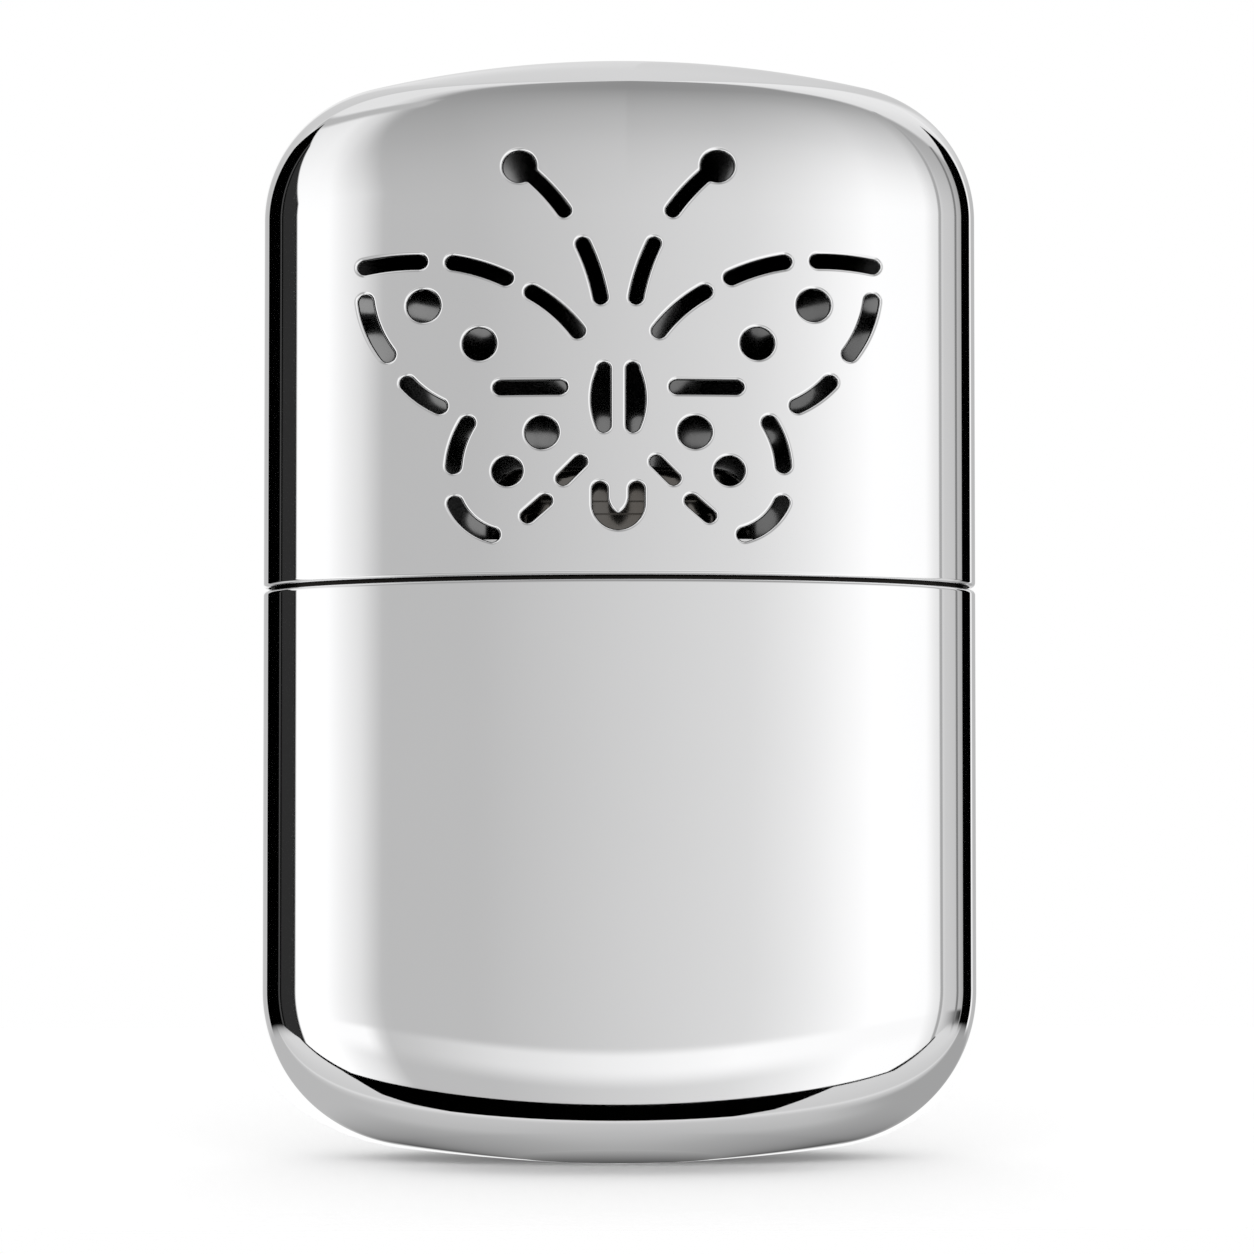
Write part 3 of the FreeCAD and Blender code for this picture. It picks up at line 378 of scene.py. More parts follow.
def conic_ring(first, middle, last, weight, part):
    """A ring of a band, from its first ring at part 0 to its last at part 1."""
    rest = 1 - part
    total = rest * rest + 2 * weight * part * rest + part * part
    place = (rest * rest * first + 2 * weight * part * rest * middle + part * part * last) / total
    growth = 2 * (weight * (rest - part) * middle - rest * first + part * last)
    growth -= place * 2 * (weight * (rest - part) - rest + part)
    return (*place, *(growth / total))


def conic_band(first, middle, last, turn, count):
    """The rings of a band whose outline turns by an angle."""
    weight = math.cos(turn / 2)
    return [conic_ring(first, middle, last, weight, step / count) for step in range(count)]


wall_height = TANK_EDGE - LIP_ROUND - side_ring[2]
tank_rings = conic_band(foot_ring, bend_ring, join_ring, base_slope - foot_slope, ARCH_ROWS)
tank_rings += conic_band(join_ring, corner_ring, side_ring, math.pi / 2 - base_slope, CORNER_ROWS)
tank_rings += [wall_ring(side_ring[2] + wall_height * step / WALL_ROWS) for step in range(WALL_ROWS + 1)]
print("tank rings", len(tank_rings), "foot", [round(value, 2) for value in foot_ring])

# %% [markdown]
# ## Rows of a drawn shell
# Each half of the case is thin sheet, so its mesh is one closed skin: up the outside, round the lip and
# down the inside. The lip is turned over a small radius, and that radius is what draws the fine bright
# line along the seam. The inside is the outside pushed in along its own normals by the thickness of the
# sheet.

# %% Rows
LIP_ROWS = 6
# The inner edge of a lip: how the normal leans, how far out from the inner wall and back from the edge.
INNER_LIP = ((90, 0.05, 0.0), (135, 0.015, 0.015), (180, 0.0, 0.05))


def ring_row(ring):
    """The points and normals of one ring, all round."""
    return [oval_point(ring, round_angle(index)) for index in range(ROUND_PARTS)]


def pushed_in(row):
    """The inside face of the sheet at a row."""
    return [(place - normal * WALL, -normal) for place, normal in row]


def lip_row(inset, level, lean, up):
    """A row of the lip: so far in from the wall, its normal leaning from level towards the lip's side."""
    row = []
    for place, normal in ring_row(wall_ring(level)):
        tilted = normal * math.cos(lean) + Vector((0, 0, up * math.sin(lean)))
        row.append((place - normal * inset, tilted))
    return row


def lip_rows(edge, up):
    """Rows round a lip from the outer wall to the inner one. Up is 1 for the tank and -1 for the cap."""
    rows = []
    for step in range(1, LIP_ROWS + 1):
        lean = math.pi / 2 * step / LIP_ROWS
        inset = LIP_ROUND * (1 - math.cos(lean))
        rows.append(lip_row(inset, edge - up * LIP_ROUND * (1 - math.sin(lean)), lean, up))
    for lean, inset, drop in INNER_LIP:
        rows.append(lip_row(WALL - inset, edge - up * drop, math.radians(lean), up))
    return rows


print("rows round a lip", LIP_ROWS + len(INNER_LIP))

# %% Skin from rows
def skin(rows, keep, first_pole, last_pole):
    """Points, normals and faces of closed rows with a pole at each end. Keep says which squares stay."""
    points = [place for row in rows for place, normal in row]
    normals = [normal for row in rows for place, normal in row]
    faces = []
    for row in range(len(rows) - 1):
        for index in range(ROUND_PARTS):
            if keep(row, index):
                after = (index + 1) % ROUND_PARTS
                low, high = row * ROUND_PARTS, (row + 1) * ROUND_PARTS
                faces.append((low + index, low + after, high + after, high + index))
    for pole, start, swap in ((first_pole, 0, True), (last_pole, (len(rows) - 1) * ROUND_PARTS, False)):
        points.append(Vector(pole[0]))
        normals.append(Vector(pole[1]))
        for index in range(ROUND_PARTS):
            pair = (start + index, start + (index + 1) % ROUND_PARTS)
            faces.append((*(reversed(pair) if swap else pair), len(points) - 1))
    return points, normals, faces


# %% [markdown]
# ## Tank
# The tank is drawn from one blank: a deep oval cup whose bottom is the flat foot. The foot is a flat
# face of its own, so two rings with a downward normal close to each other keep its edge crisp.

# %% Tank shell
FOOT_ROWS = (0.6, 0.985)
SKIN, LINING = 0, 1
down = Vector((0, 0, -1))
outside = [ring_row(ring) for ring in tank_rings]
foot_rows = [[(Vector((place[0] * part, place[1] * part, 0)), down) for place, normal in outside[0]]
             for part in FOOT_ROWS]
lip = lip_rows(TANK_EDGE, 1)
inside = [pushed_in(row) for row in reversed(outside)]
rows = foot_rows + outside + lip + inside
points, normals, faces = skin(rows, lambda row, index: True, ((0, 0, 0), down), ((0, 0, WALL), -down))
turn_in = (len(foot_rows) + len(outside) + len(lip) - 1) * ROUND_PARTS
kinds = [LINING if min(face) >= turn_in else SKIN for face in faces]
make_piece("tank_body", points, faces, (polished_case, case_inside), "tank", "tank_shell",
           normals, kinds)

# %% [markdown]
# ## Air vents
# Each vent is a closed outline of straight and round runs: a round hole is one circle, a curved slot is
# two round ends and two sides, and an antenna is a round hole that runs into a slot. The metal is drawn
# into the hole round the punch, so every point of an outline also keeps the direction that leads into
# the metal.

# %% Runs of an outline
ARC_STEP, LINE_STEP = 0.2, 0.4


def heading(centre, point):
    """The angle from a centre to a point."""
    return math.atan2(point[1] - centre[1], point[0] - centre[0])


def polar(centre, radius, angle):
    """The point at a distance and an angle from a centre."""
    return (centre[0] + radius * math.cos(angle), centre[1] + radius * math.sin(angle))


def arc_run(centre, radius, start, sweep, side=1):
    """Points of an arc with their normals. Side is -1 where the metal lies inside the arc."""
    count = max(4, int(abs(sweep) * radius / ARC_STEP))
    run = []
    for step in range(count + 1):
        turn = start + sweep * step / count
        run.append((polar(centre, radius, turn), (side * math.cos(turn), side * math.sin(turn))))
    return run


def line_run(a, b, inside):
    """Points of a straight edge, with the normal that points away from a point inside the opening."""
    length = math.dist(a, b)
    normal = ((b[1] - a[1]) / length, (a[0] - b[0]) / length)
    if (inside[0] - a[0]) * normal[0] + (inside[1] - a[1]) * normal[1] > 0:
        normal = (-normal[0], -normal[1])
    count = max(2, int(length / LINE_STEP))
    return [((a[0] + (b[0] - a[0]) * step / count, a[1] + (b[1] - a[1]) * step / count), normal)
            for step in range(count + 1)]


def circle_through(a, b, c):
    """Centre and radius of the circle through three points."""
    (ax, az), (bx, bz), (cx, cz) = a, b, c
    twice = 2 * (ax * (bz - cz) + bx * (cz - az) + cx * (az - bz))
    qa, qb, qc = ax * ax + az * az, bx * bx + bz * bz, cx * cx + cz * cz
    centre = ((qa * (bz - cz) + qb * (cz - az) + qc * (az - bz)) / twice,
              (qa * (cx - bx) + qb * (ax - cx) + qc * (bx - ax)) / twice)
    return centre, math.dist(centre, a)


def through(a, b, c):
    """Centre, radius, start and sweep of the arc from a through b to c."""
    centre, radius = circle_through(a, b, c)
    start = heading(centre, a)
    sweep = (heading(centre, c) - start) % math.tau
    if (heading(centre, b) - start) % math.tau > sweep:
        sweep -= math.tau
    return centre, radius, start, sweep


print("radius through three points", circle_through((1, 0), (0, 1), (-1, 0))[1])

# %% Closed outlines
def join_runs(runs):
    """One closed outline, counter-clockwise. Where two runs meet, a point has the mean of their normals."""
    outline = []
    for index, run in enumerate(runs):
        before, (place, first) = runs[index - 1][-1][1], run[0]
        mean = Vector((before[0] + first[0], before[1] + first[1])).normalized()
        outline.append((place, tuple(mean)))
        outline.extend(run[1:-1])
    area = 0.0
    for index, ((x, z), _) in enumerate(outline):
        before_x, before_z = outline[index - 1][0]
        area += before_x * z - x * before_z
    return outline if area > 0 else outline[::-1]


def mirrored(run):
    """The same run or outline on the other side of the case's axis."""
    return [((-x, z), (-out_x, out_z)) for (x, z), (out_x, out_z) in reversed(run)]


def round_vent(centre, diameter):
    """A round hole."""
    return join_runs([arc_run(centre, diameter / 2, 0.0, math.tau)])


def curved_slot(a, b, c, width):
    """A slot of even width with round ends, bent along an arc."""
    centre, radius, start, sweep = through(a, b, c)
    if sweep < 0:
        return curved_slot(c, b, a, width)
    end = start + sweep
    return join_runs([
        arc_run(centre, radius + width / 2, start, sweep),
        arc_run(polar(centre, radius, end), width / 2, end, math.pi),
        arc_run(centre, radius - width / 2, end, -sweep, -1),
        arc_run(polar(centre, radius, start), width / 2, start + math.pi, math.pi),
    ])


def straight_slot(a, b, width):
    """A slot of even width with round ends."""
    along = heading(a, b)
    half, quarter = width / 2, math.pi / 2
    return join_runs([
        arc_run(b, half, along - quarter, math.pi),
        line_run(polar(b, half, along + quarter), polar(a, half, along + quarter), a),
        arc_run(a, half, along + quarter, math.pi),
        line_run(polar(a, half, along - quarter), polar(b, half, along - quarter), a),
    ])


print("points of a 3 mm hole", len(round_vent((0, 0), 3.0)))

# %% Keyhole outline
def meeting_point(a, reach_a, b, reach_b, near):
    """Where the circle round a meets the one round b, on the side that is nearer to a given point."""
    gap = math.dist(a, b)
    along = (gap * gap + reach_a * reach_a - reach_b * reach_b) / (2 * gap)
    turn = math.acos(along / reach_a)
    both = [polar(a, reach_a, heading(a, b) + side * turn) for side in (-1, 1)]
    return min(both, key=lambda point: math.dist(point, near))


def keyhole(a, b, c, width, hole, diameter, fillet=0.45):
    """A curved slot from a that runs into a round hole past c, with the two corners of metal rounded."""
    centre, radius, start, sweep = through(a, b, c)
    if sweep < 0:
        flipped = [(-x, z) for x, z in (a, b, c, hole)]
        return mirrored(keyhole(*flipped[:3], width, flipped[3], diameter, fillet))
    turn = {}
    for side in (1, -1):
        reach = radius + side * (width / 2 + fillet)
        turn[side] = meeting_point(hole, diameter / 2 + fillet, centre, reach, a)
    runs = []
    for side in (1, -1):
        corner = turn[side]
        on_slot = polar(centre, radius + side * width / 2, heading(centre, corner))
        on_hole = polar(hole, diameter / 2, heading(hole, corner))
        first, last = (on_slot, on_hole) if side > 0 else (on_hole, on_slot)
        from_angle = heading(corner, first)
        back = (heading(corner, last) - from_angle) % math.tau - math.tau
        runs.append(arc_run(corner, fillet, from_angle, back, -1))
    outer_sweep = heading(centre, turn[1]) - start
    inner_sweep = heading(centre, turn[-1]) - start
    outer_hole, inner_hole = heading(hole, turn[1]), heading(hole, turn[-1])
    return join_runs([
        arc_run(centre, radius + width / 2, start, outer_sweep),
        runs[0],
        arc_run(hole, diameter / 2, outer_hole, (inner_hole - outer_hole) % math.tau),
        runs[1],
        arc_run(centre, radius - width / 2, start + inner_sweep, -inner_sweep, -1),
        arc_run(polar(centre, radius, start), width / 2, start + math.pi, math.pi),
    ])


# %% [markdown]
# The vents draw a butterfly, an old ornament for pocket warmers. The right half is listed here in
# millimetres from the axis and from the drawing's foot, and the left half is its mirror image. The
# tongue of the tail comes to a point, where a rim of even width would fold over itself, so the points
# next to its tip are left out.

# %% The butterfly
RIM = 0.35
DRAWING_FOOT = 56.4
SLOT, NARROW_SLOT, HOLE, SMALL_HOLE = 1.3, 1.2, 3.0, 2.7
WING_SLOTS = (
    ((3.8, 19.7), (5.75, 21.8), (8.0, 23.4)),
    ((10.5, 24.75), (12.9, 25.7), (15.35, 26.3)),
    ((18.5, 26.45), (21.1, 26.4), (23.55, 26.1)),
    ((23.5, 22.85), (22.8, 20.2), (21.45, 17.8)),
    ((19.6, 15.05), (18.1, 13.7), (16.6, 12.8)),
    ((14.0, 11.15), (14.9, 9.2), (15.3, 7.15)),
    ((15.15, 3.65), (13.8, 1.8), (11.7, 0.65)),
)
right_half = [curved_slot(*slot, SLOT) for slot in WING_SLOTS]
right_half += [
    straight_slot((5.45, 14.45), (10.9, 14.45), SLOT),
    keyhole((5.05, 31.05), (6.4, 32.75), (8.5, 34.8), NARROW_SLOT, (9.2, 35.3), HOLE),
    curved_slot((3.3, 27.9), (2.4, 25.7), (1.65, 22.85), NARROW_SLOT),
    straight_slot((3.55, 7.4), (5.1, 5.85), NARROW_SLOT),
    straight_slot((6.8, 3.75), (8.4, 2.35), NARROW_SLOT),
]
right_half += [round_vent(centre, HOLE) for centre in ((18.1, 22.3), (12.9, 18.6), (7.1, 10.2))]
right_half.append(round_vent((10.3, 6.6), SMALL_HOLE))
right_half.append(join_runs([
    line_run((0.76, 10.85), (0.76, 16.1), (1.5, 13.0)),
    arc_run(*through((0.76, 16.1), (1.33, 16.72), (1.9, 16.05))),
    arc_run(*through((1.9, 16.05), (2.47, 13.2), (1.95, 10.7))),
    arc_run(*through((1.95, 10.7), (1.35, 10.22), (0.76, 10.85))),
]))
tail = [
    arc_run(*through((0, 1.08), (1.7, 1.83), (2.38, 3.6))),
    line_run((2.38, 3.6), (2.38, 4.85), (1.7, 4.5)),
    arc_run(*through((2.38, 4.85), (1.71, 5.52), (1.04, 4.85))),
    line_run((1.04, 4.85), (1.04, 4.3), (1.7, 4.5)),
    arc_run(*through((1.04, 4.3), (0.75, 3.2), (0, 2.52)), side=-1),
]
horseshoe = join_runs(tail + [mirrored(run) for run in reversed(tail)])
horseshoe = [(spot, away) for spot, away in horseshoe
             if abs(spot[0]) < 1e-6 or spot[0] * (spot[0] + away[0] * RIM) > 0]
drawing = right_half + [mirrored(outline) for outline in right_half] + [horseshoe]
vents = [[((x, z + DRAWING_FOOT), normal) for (x, z), normal in outline] for outline in drawing]
print("vents", len(vents), "points", sum(len(outline) for outline in vents))

# %% [markdown]
# ## Cap
# The cap is the same kind of shell as the tank, upside down. Its front is pierced, and a grid can't
# follow round holes, so a block of the grid is taken out there and triangulated again between its own
# edge and the vents' rims. Each rim rolls in through a quarter round, which gives every hole its bright
# edge.

# %% Rows of the cap
outside = [ring_row(ring) for ring in cap_rings]
lip = list(reversed(lip_rows(CAP_LIP, -1)))
inside = [pushed_in(row) for row in reversed(outside)]
rows = inside + lip + outside
OUTER_START = len(inside) + len(lip)
BLOCK_HALF_WIDTH, BLOCK_TOP = 26.5, 94.2
front_column = 3 * ROUND_PARTS // 4
reach = next(step for step in range(ROUND_PARTS)
             if HALF_WIDTH * math.sin(round_angle(step)) > 0 and
             abs(outside[0][front_column + step][0][0]) >= BLOCK_HALF_WIDTH)
first_column, last_column = front_column - reach, front_column + reach
first_row = 1
last_row = next(row for row, ring in enumerate(cap_rings) if ring[2] >= BLOCK_TOP)


def in_block(row, index):
    """Whether a square of the cap's grid lies in the pierced block, outside or inside."""
    on_lip = len(inside) - 1 <= row < OUTER_START
    outer = row - OUTER_START if row >= OUTER_START else len(inside) - 2 - row
    return not on_lip and first_row <= outer < last_row and first_column <= index < last_column


up = Vector((0, 0, 1))
points, normals, faces = skin(rows, lambda row, index: not in_block(row, index),
                              ((0, 0, CROWN - WALL), -up), ((0, 0, CROWN), up))
lining_end = (len(inside) + 1) * ROUND_PARTS
kinds = [LINING if max(face) < lining_end or min(face) < ROUND_PARTS else SKIN for face in faces]
print("block rows", first_row, last_row, "columns", first_column, last_column)


# %% The front surface at a point of the drawing
def front_point(x, level):
    """The point of the cap's front and its normal, for a distance from the axis and a level."""
    ring = wall_ring(level)
    if level > CORNER_LEVEL:
        lean = math.acos((level - CORNER_LEVEL) / CROWN_CORNER)
        ring = round_ring(crown_inset, CORNER_LEVEL, CROWN_CORNER, lean)
        ring = (*ring[:2], level, *ring[3:])
    return oval_point(ring, -math.acos(x / ring[0]))


print("front of the cap at its lip", [round(value, 2) for value in front_point(0.0, CAP_LIP)[0]])

# %% Rims of the vents
RIM_ROWS, NEARBY = 5, 0.01
INNER_ROUND, INNER_TURN = 0.06, math.radians(140)


def rim_loop(outline, offset, depth, roll):
    """A closed loop of a rim: so far into the metal and so deep, its normal rolled towards the opening."""
    loop = []
    for (x, level), (out_x, out_z) in outline:
        place, normal = front_point(x + out_x * offset, level + out_z * offset)
        nearby = front_point(x + out_x * (offset + NEARBY), level + out_z * (offset + NEARBY))[0]
        away = (nearby - place).normalized()
        points.append(place - normal * depth)
        normals.append(normal * math.cos(roll) - away * math.sin(roll))
        loop.append(len(points) - 1)
    return loop


flat, pairs, edges, vent_of = [], [], [], {}
for number, outline in enumerate(vents):
    loops = [rim_loop(outline, RIM, 0.0, 0.0)]
    for step in range(1, RIM_ROWS + 1):
        roll = math.pi / 2 * step / RIM_ROWS
        loops.append(rim_loop(outline, RIM * (1 - math.sin(roll)), RIM * (1 - math.cos(roll)), roll))
    loops.append(rim_loop(outline, 0.0, WALL - INNER_ROUND, math.pi / 2))
    loops.append(rim_loop(outline, INNER_ROUND, WALL, INNER_TURN))
    loops.append(rim_loop(outline, RIM, WALL, math.pi))
    for level, (upper, lower) in enumerate(zip(loops, loops[1:])):
        for index in range(len(outline)):
            after = (index + 1) % len(outline)
            faces.append((upper[index], upper[after], lower[after], lower[index]))
            kinds.append(LINING if level == len(loops) - 2 else SKIN)
    start = len(flat)
    for index, ((x, level), (out_x, out_z)) in enumerate(outline):
        vent_of[len(flat)] = number
        edges.append((start + index, start + (index + 1) % len(outline)))
        flat.append(Vector((x + out_x * RIM, level + out_z * RIM)))
        pairs.append((loops[0][index], loops[-1][index]))
print("rims", len(vents), "loops of", len(flat), "points")

# %% Where the grid's own points can stay
CLEAR_OF_RIM = 0.6


def inside_outline(spot, outline):
    """Whether a spot lies in a closed outline, by counting the edges to its right."""
    crossings = 0
    for index, (x, z) in enumerate(outline):
        before_x, before_z = outline[index - 1]
        if (z > spot[1]) != (before_z > spot[1]):
            crossings += spot[0] < x + (before_x - x) * (spot[1] - z) / (before_z - z)
    return crossings % 2 == 1


rim_points = list(flat)
wide_outlines = [[(x + out_x * RIM, z + out_z * RIM) for (x, z), (out_x, out_z) in outline]
                 for outline in vents]


def clear_of_vents(spot):
    """Whether a spot of the front lies in solid metal, well clear of every rim."""
    if min((spot - rim).length_squared for rim in rim_points) < CLEAR_OF_RIM ** 2:
        return False
    return not any(inside_outline(spot, outline) for outline in wide_outlines)


print("clear by", CLEAR_OF_RIM, "mm of", len(rim_points), "rim points")

# %% Fill between the rims
SAME_PLACE = 1e-6


def add_grid_point(row, column):
    """Adds a place of the cap's grid to the flat fill, paired with its outer and its inner point."""
    place = outside[row][column][0]
    flat.append(Vector((place[0], place[2])))
    outer, inner = OUTER_START + row, len(inside) - 1 - row
    pairs.append((outer * ROUND_PARTS + column, inner * ROUND_PARTS + column))


border = [(first_row, column) for column in range(first_column, last_column)]
border += [(row, last_column) for row in range(first_row, last_row)]
border += [(last_row, column) for column in range(last_column, first_column, -1)]
border += [(row, first_column) for row in range(last_row, first_row, -1)]
start = len(flat)
for index, (row, column) in enumerate(border):
    edges.append((start + index, start + (index + 1) % len(border)))
    add_grid_point(row, column)
for row in range(first_row + 1, last_row):
    for column in range(first_column + 1, last_column):
        place = outside[row][column][0]
        if clear_of_vents(Vector((place[0], place[2]))):
            add_grid_point(row, column)

spots, _, triangles, origins, *_ = delaunay_2d_cdt(flat, edges, [], 1, SAME_PLACE)
for triangle in triangles:
    corners = [origins[corner][0] for corner in triangle]
    numbers = {vent_of.get(corner) for corner in corners}
    if len(numbers) == 1 and None not in numbers:
        middle = (flat[corners[0]] + flat[corners[1]] + flat[corners[2]]) / 3
        if inside_outline(middle, wide_outlines[numbers.pop()]):
            continue
    faces.append(tuple(pairs[corner][0] for corner in corners))
    kinds.append(SKIN)
    faces.append(tuple(pairs[corner][1] for corner in reversed(corners)))
    kinds.append(LINING)
print("fill", len(triangles), "triangles from", len(flat), "points, made", len(spots))

# %% Cap shell
used = sorted({corner for face in faces for corner in face})
renumber = {old: new for new, old in enumerate(used)}
faces = [tuple(renumber[corner] for corner in face) for face in faces]
make_piece("cap_body", [points[old] for old in used], faces, (polished_case, case_inside), "cap",
           "cap_shell", [normals[old] for old in used], kinds)

# %% [markdown]
# ## Woven gauzes
# Two small gauzes hold the catalyst mat. Real gauze is woven: each wire goes over one and under the
# next, like cloth. A wire is a thin tube along a wave, and the crossing wires take the opposite wave, so
# that they rest on each other. The wires end on the oblong outline that the pan holds.

# %% Wire tube
WIRE_PITCH = 0.55
WIRE_SIDES = 6


def add_wire(points, faces, path, radius):
    """A tube of even thickness along a path that runs level, with closed ends."""
    start = len(points)
    for index, place in enumerate(path):
        along = (path[min(index + 1, len(path) - 1)] - path[max(index - 1, 0)]).normalized()
        side = along.cross(Vector((0, 0, 1))).normalized()
        upward = side.cross(along)
        for corner in range(WIRE_SIDES):
            turn = math.tau * corner / WIRE_SIDES
            points.append(place + (side * math.cos(turn) + upward * math.sin(turn)) * radius)
    for index in range(len(path) - 1):
        for corner in range(WIRE_SIDES):
            low, high = start + index * WIRE_SIDES, start + (index + 1) * WIRE_SIDES
            after = (corner + 1) % WIRE_SIDES
            faces.append((low + corner, high + corner, high + after, low + after))
    faces.append(tuple(start + corner for corner in range(WIRE_SIDES)))
    faces.append(tuple(len(points) - 1 - corner for corner in range(WIRE_SIDES)))


def half_chord(across, half_deep):
    """How far the round end of an oblong reaches past the end's middle, at a distance across."""
    return math.sqrt(max(half_deep ** 2 - across ** 2, 0.0))


print("wires every", WIRE_PITCH, "mm, each with", WIRE_SIDES, "sides")

# %% Weave the gauzes
WIRE_SLACK = 0.96
WAVE_STEPS = 4


def weave(name, node):
    """A plain-woven gauze in the place of a CAD gauze."""
    (*_, low), (east, back, high) = box_mm(node)
    radius, middle = (high - low) / 4, (low + high) / 2
    half_wide, half_deep = east - radius, back - radius
    straight = half_wide - half_deep
    points, faces = [], []
    for lengthwise, half_span in ((True, half_deep), (False, half_wide)):
        wires = int(half_span / WIRE_PITCH)
        for number in range(-wires, wires + 1):
            across = number * WIRE_PITCH
            if lengthwise:
                reach = straight + half_chord(across, half_deep)
            else:
                reach = half_chord(max(abs(across) - straight, 0.0), half_deep)
            steps = max(WAVE_STEPS, int(2 * reach / (WIRE_PITCH / WAVE_STEPS)))
            path = []
            for step in range(steps + 1):
                along = -reach + 2 * reach * step / steps
                wave = radius * math.cos(math.pi * (along / WIRE_PITCH + number))
                place = (along, across, middle + wave) if lengthwise else (across, along, middle - wave)
                path.append(Vector(place))
            add_wire(points, faces, path, radius * WIRE_SLACK)
    make_piece(name, points, faces, (wire_metal,), "burner", node)


weave("woven_gauze_lower", "lower_mesh")
weave("woven_gauze_upper", "upper_mesh")

# %% [markdown]
# ## Soft fillings
# Cotton, felt and the glass-fibre mat are soft, so their edges are never crisp and their faces are never
# flat. Each starts from its own CAD shape, gets an even mesh, and is then pulled in a little everywhere:
# more at the edges, as packed fibre rounds off there, and by a slow noise that gives the lumps. Pulling
# in only keeps the filling clear of the metal round it.

# %% Soften
ROUNDING, ROUNDING_STEPS = 0.5, 6
# The pull is a mean and two sizes of lump, and the small lumps are finer by the last number.
MEAN_PULL, LARGE_LUMPS, SMALL_LUMPS, FINER = 0.5, 0.35, 0.3, 3.1


def soften(name, node, body, material, voxel, pull, lump):
    """A soft piece from a CAD solid: an even mesh with rounded edges, drawn in by a slow noise."""
    piece = bpy.data.objects.new(name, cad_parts[node].data.copy())
    bpy.context.scene.collection.objects.link(piece)
    even = piece.modifiers.new("even", "REMESH")
    even.mode = "VOXEL"
    even.voxel_size = voxel * MM
    rounded = piece.modifiers.new("rounded", "SMOOTH")
    rounded.factor = ROUNDING
    rounded.iterations = ROUNDING_STEPS
    mesh = bpy.data.meshes.new_from_object(piece.evaluated_get(bpy.context.evaluated_depsgraph_get()))
    piece.modifiers.clear()
    piece.data = mesh
    moves = []
    for vertex in mesh.vertices:
        spot = vertex.co / MM / lump
        wave = MEAN_PULL + LARGE_LUMPS * noise.noise(spot) + SMALL_LUMPS * noise.noise(spot * FINER)
        moves.append(vertex.normal * (pull * MM * min(max(wave, 0.0), 1.0)))
    for vertex, move in zip(mesh.vertices, moves):
        vertex.co -= move
    mesh.materials.clear()
    mesh.materials.append(material)
    mesh.polygons.foreach_set("use_smooth", [True] * len(mesh.polygons))
    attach(piece, body)
    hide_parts(node)
    print(name, len(mesh.vertices), "points")


soften("glass_fibre_mat", "catalyst_mat", "burner", catalyst_fibre, 0.16, 0.22, 1.1)
soften("neck_pad", "neck_felt", "tank", felt, 0.25, 0.25, 1.8)
soften("wick_felt", "wick_strip", "tank", felt, 0.22, 0.16, 2.5)
for name, node in (("cotton_batt_front", "cotton_front"), ("cotton_batt_back", "cotton_back")):
    soften(name, node, "tank", cotton, 0.7, 0.9, 5.0)

# %% [markdown]
# ## Finishes on the sheet-metal pieces
# The plate, collar, neck, screens, sleeve, springs, pan, frame and guard are folded and stamped from
# sheet. The CAD gave them their bends and holes, so they stay as they are and only get their finish.

# %% Finish the CAD pieces
FINISHES = (
    (plated_sheet, "shoulder_plate", "filler_neck", "neck_screen", "neck_grid"),
    (collar_sheet, "collar_band"),
    (burner_steel, "burner_sleeve", "burner_pan", "burner_frame", "guard_bars"),
    (spring_steel, "sleeve_spring_left", "sleeve_spring_right"),
    (rivet_brass, "spring_rivets"),
)
for finish, *nodes in FINISHES:
    for node in nodes:
        for material_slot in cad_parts[node].material_slots:
            material_slot.material = finish
    print(finish.name, "on", ", ".join(nodes))

# %% [markdown]
# ## Floor
# The case stands on a white sheet. The camera is a little lower than the foot, so it sees the sheet from
# below: there the sheet lets through the light and the shadow that fall on its top, and it is clear in
# front of the line where the base hides it, so that the base itself shows. That line follows from the
# rings of the tank: at each distance from the axis it is the furthest point that a look from just under
# ten degrees below can reach. Far from the case the underside is clear as well, and the plain white
# backdrop takes over. From above the sheet is a plain matt white floor.

# %% Numbers in a shader
def blend_values(mask, dark, light):
    """One value where the mask is 0 and another where it is 1."""
    return add_node(mask.id_data, "Mix", data_type="FLOAT", Factor=mask, A=dark, B=light).outputs["Result"]


def mix_shaders(mask, first, second):
    """One shader where the mask is 0 and another where it is 1."""
    node = add_node(mask.id_data, "MixShader", Fac=mask)
    feed(node.inputs[1], first)
    feed(node.inputs[2], second)
    return node.outputs["Shader"]


def ramp(value, stops, lowest=0.0, highest=1.25):
    """A value that runs straight from stop to stop. A stop is an input and its result, in rising order."""
    first, last = stops[0][0], stops[-1][0]
    scaled = add_node(value.id_data, "MapRange", Value=value, From_Min=first, From_Max=last)
    strip = add_node(value.id_data, "ValToRGB", Fac=scaled.outputs["Result"])
    elements = strip.color_ramp.elements
    while len(elements) < len(stops):
        elements.new(0.5)
    for element, (place, result) in zip(elements, stops):
        element.position = (place - first) / (last - first)
        element.color = ((result - lowest) / (highest - lowest),) * 3 + (1.0,)
    return combine("MULTIPLY_ADD", strip.outputs["Color"], highest - lowest, lowest)


# %% Group: a soft-edged panel
studio_panel, given, result = new_group(
    "studio_panel",
    [("Angle", "Float", 0.0), ("From", "Float", 0.0), ("To", "Float", 0.0), ("Soft", "Float", 1.0)],
    [("Mask", "Float")],
)


def soft_step(value, edge):
    """A mask that turns on softly where a value passes an edge."""
    ratio = combine("DIVIDE", combine("SUBTRACT", value, edge), given["Soft"])
    return add_node(studio_panel, "MapRange", interpolation_type="SMOOTHSTEP", Value=ratio,
                    From_Min=-0.5, From_Max=0.5).outputs["Result"]


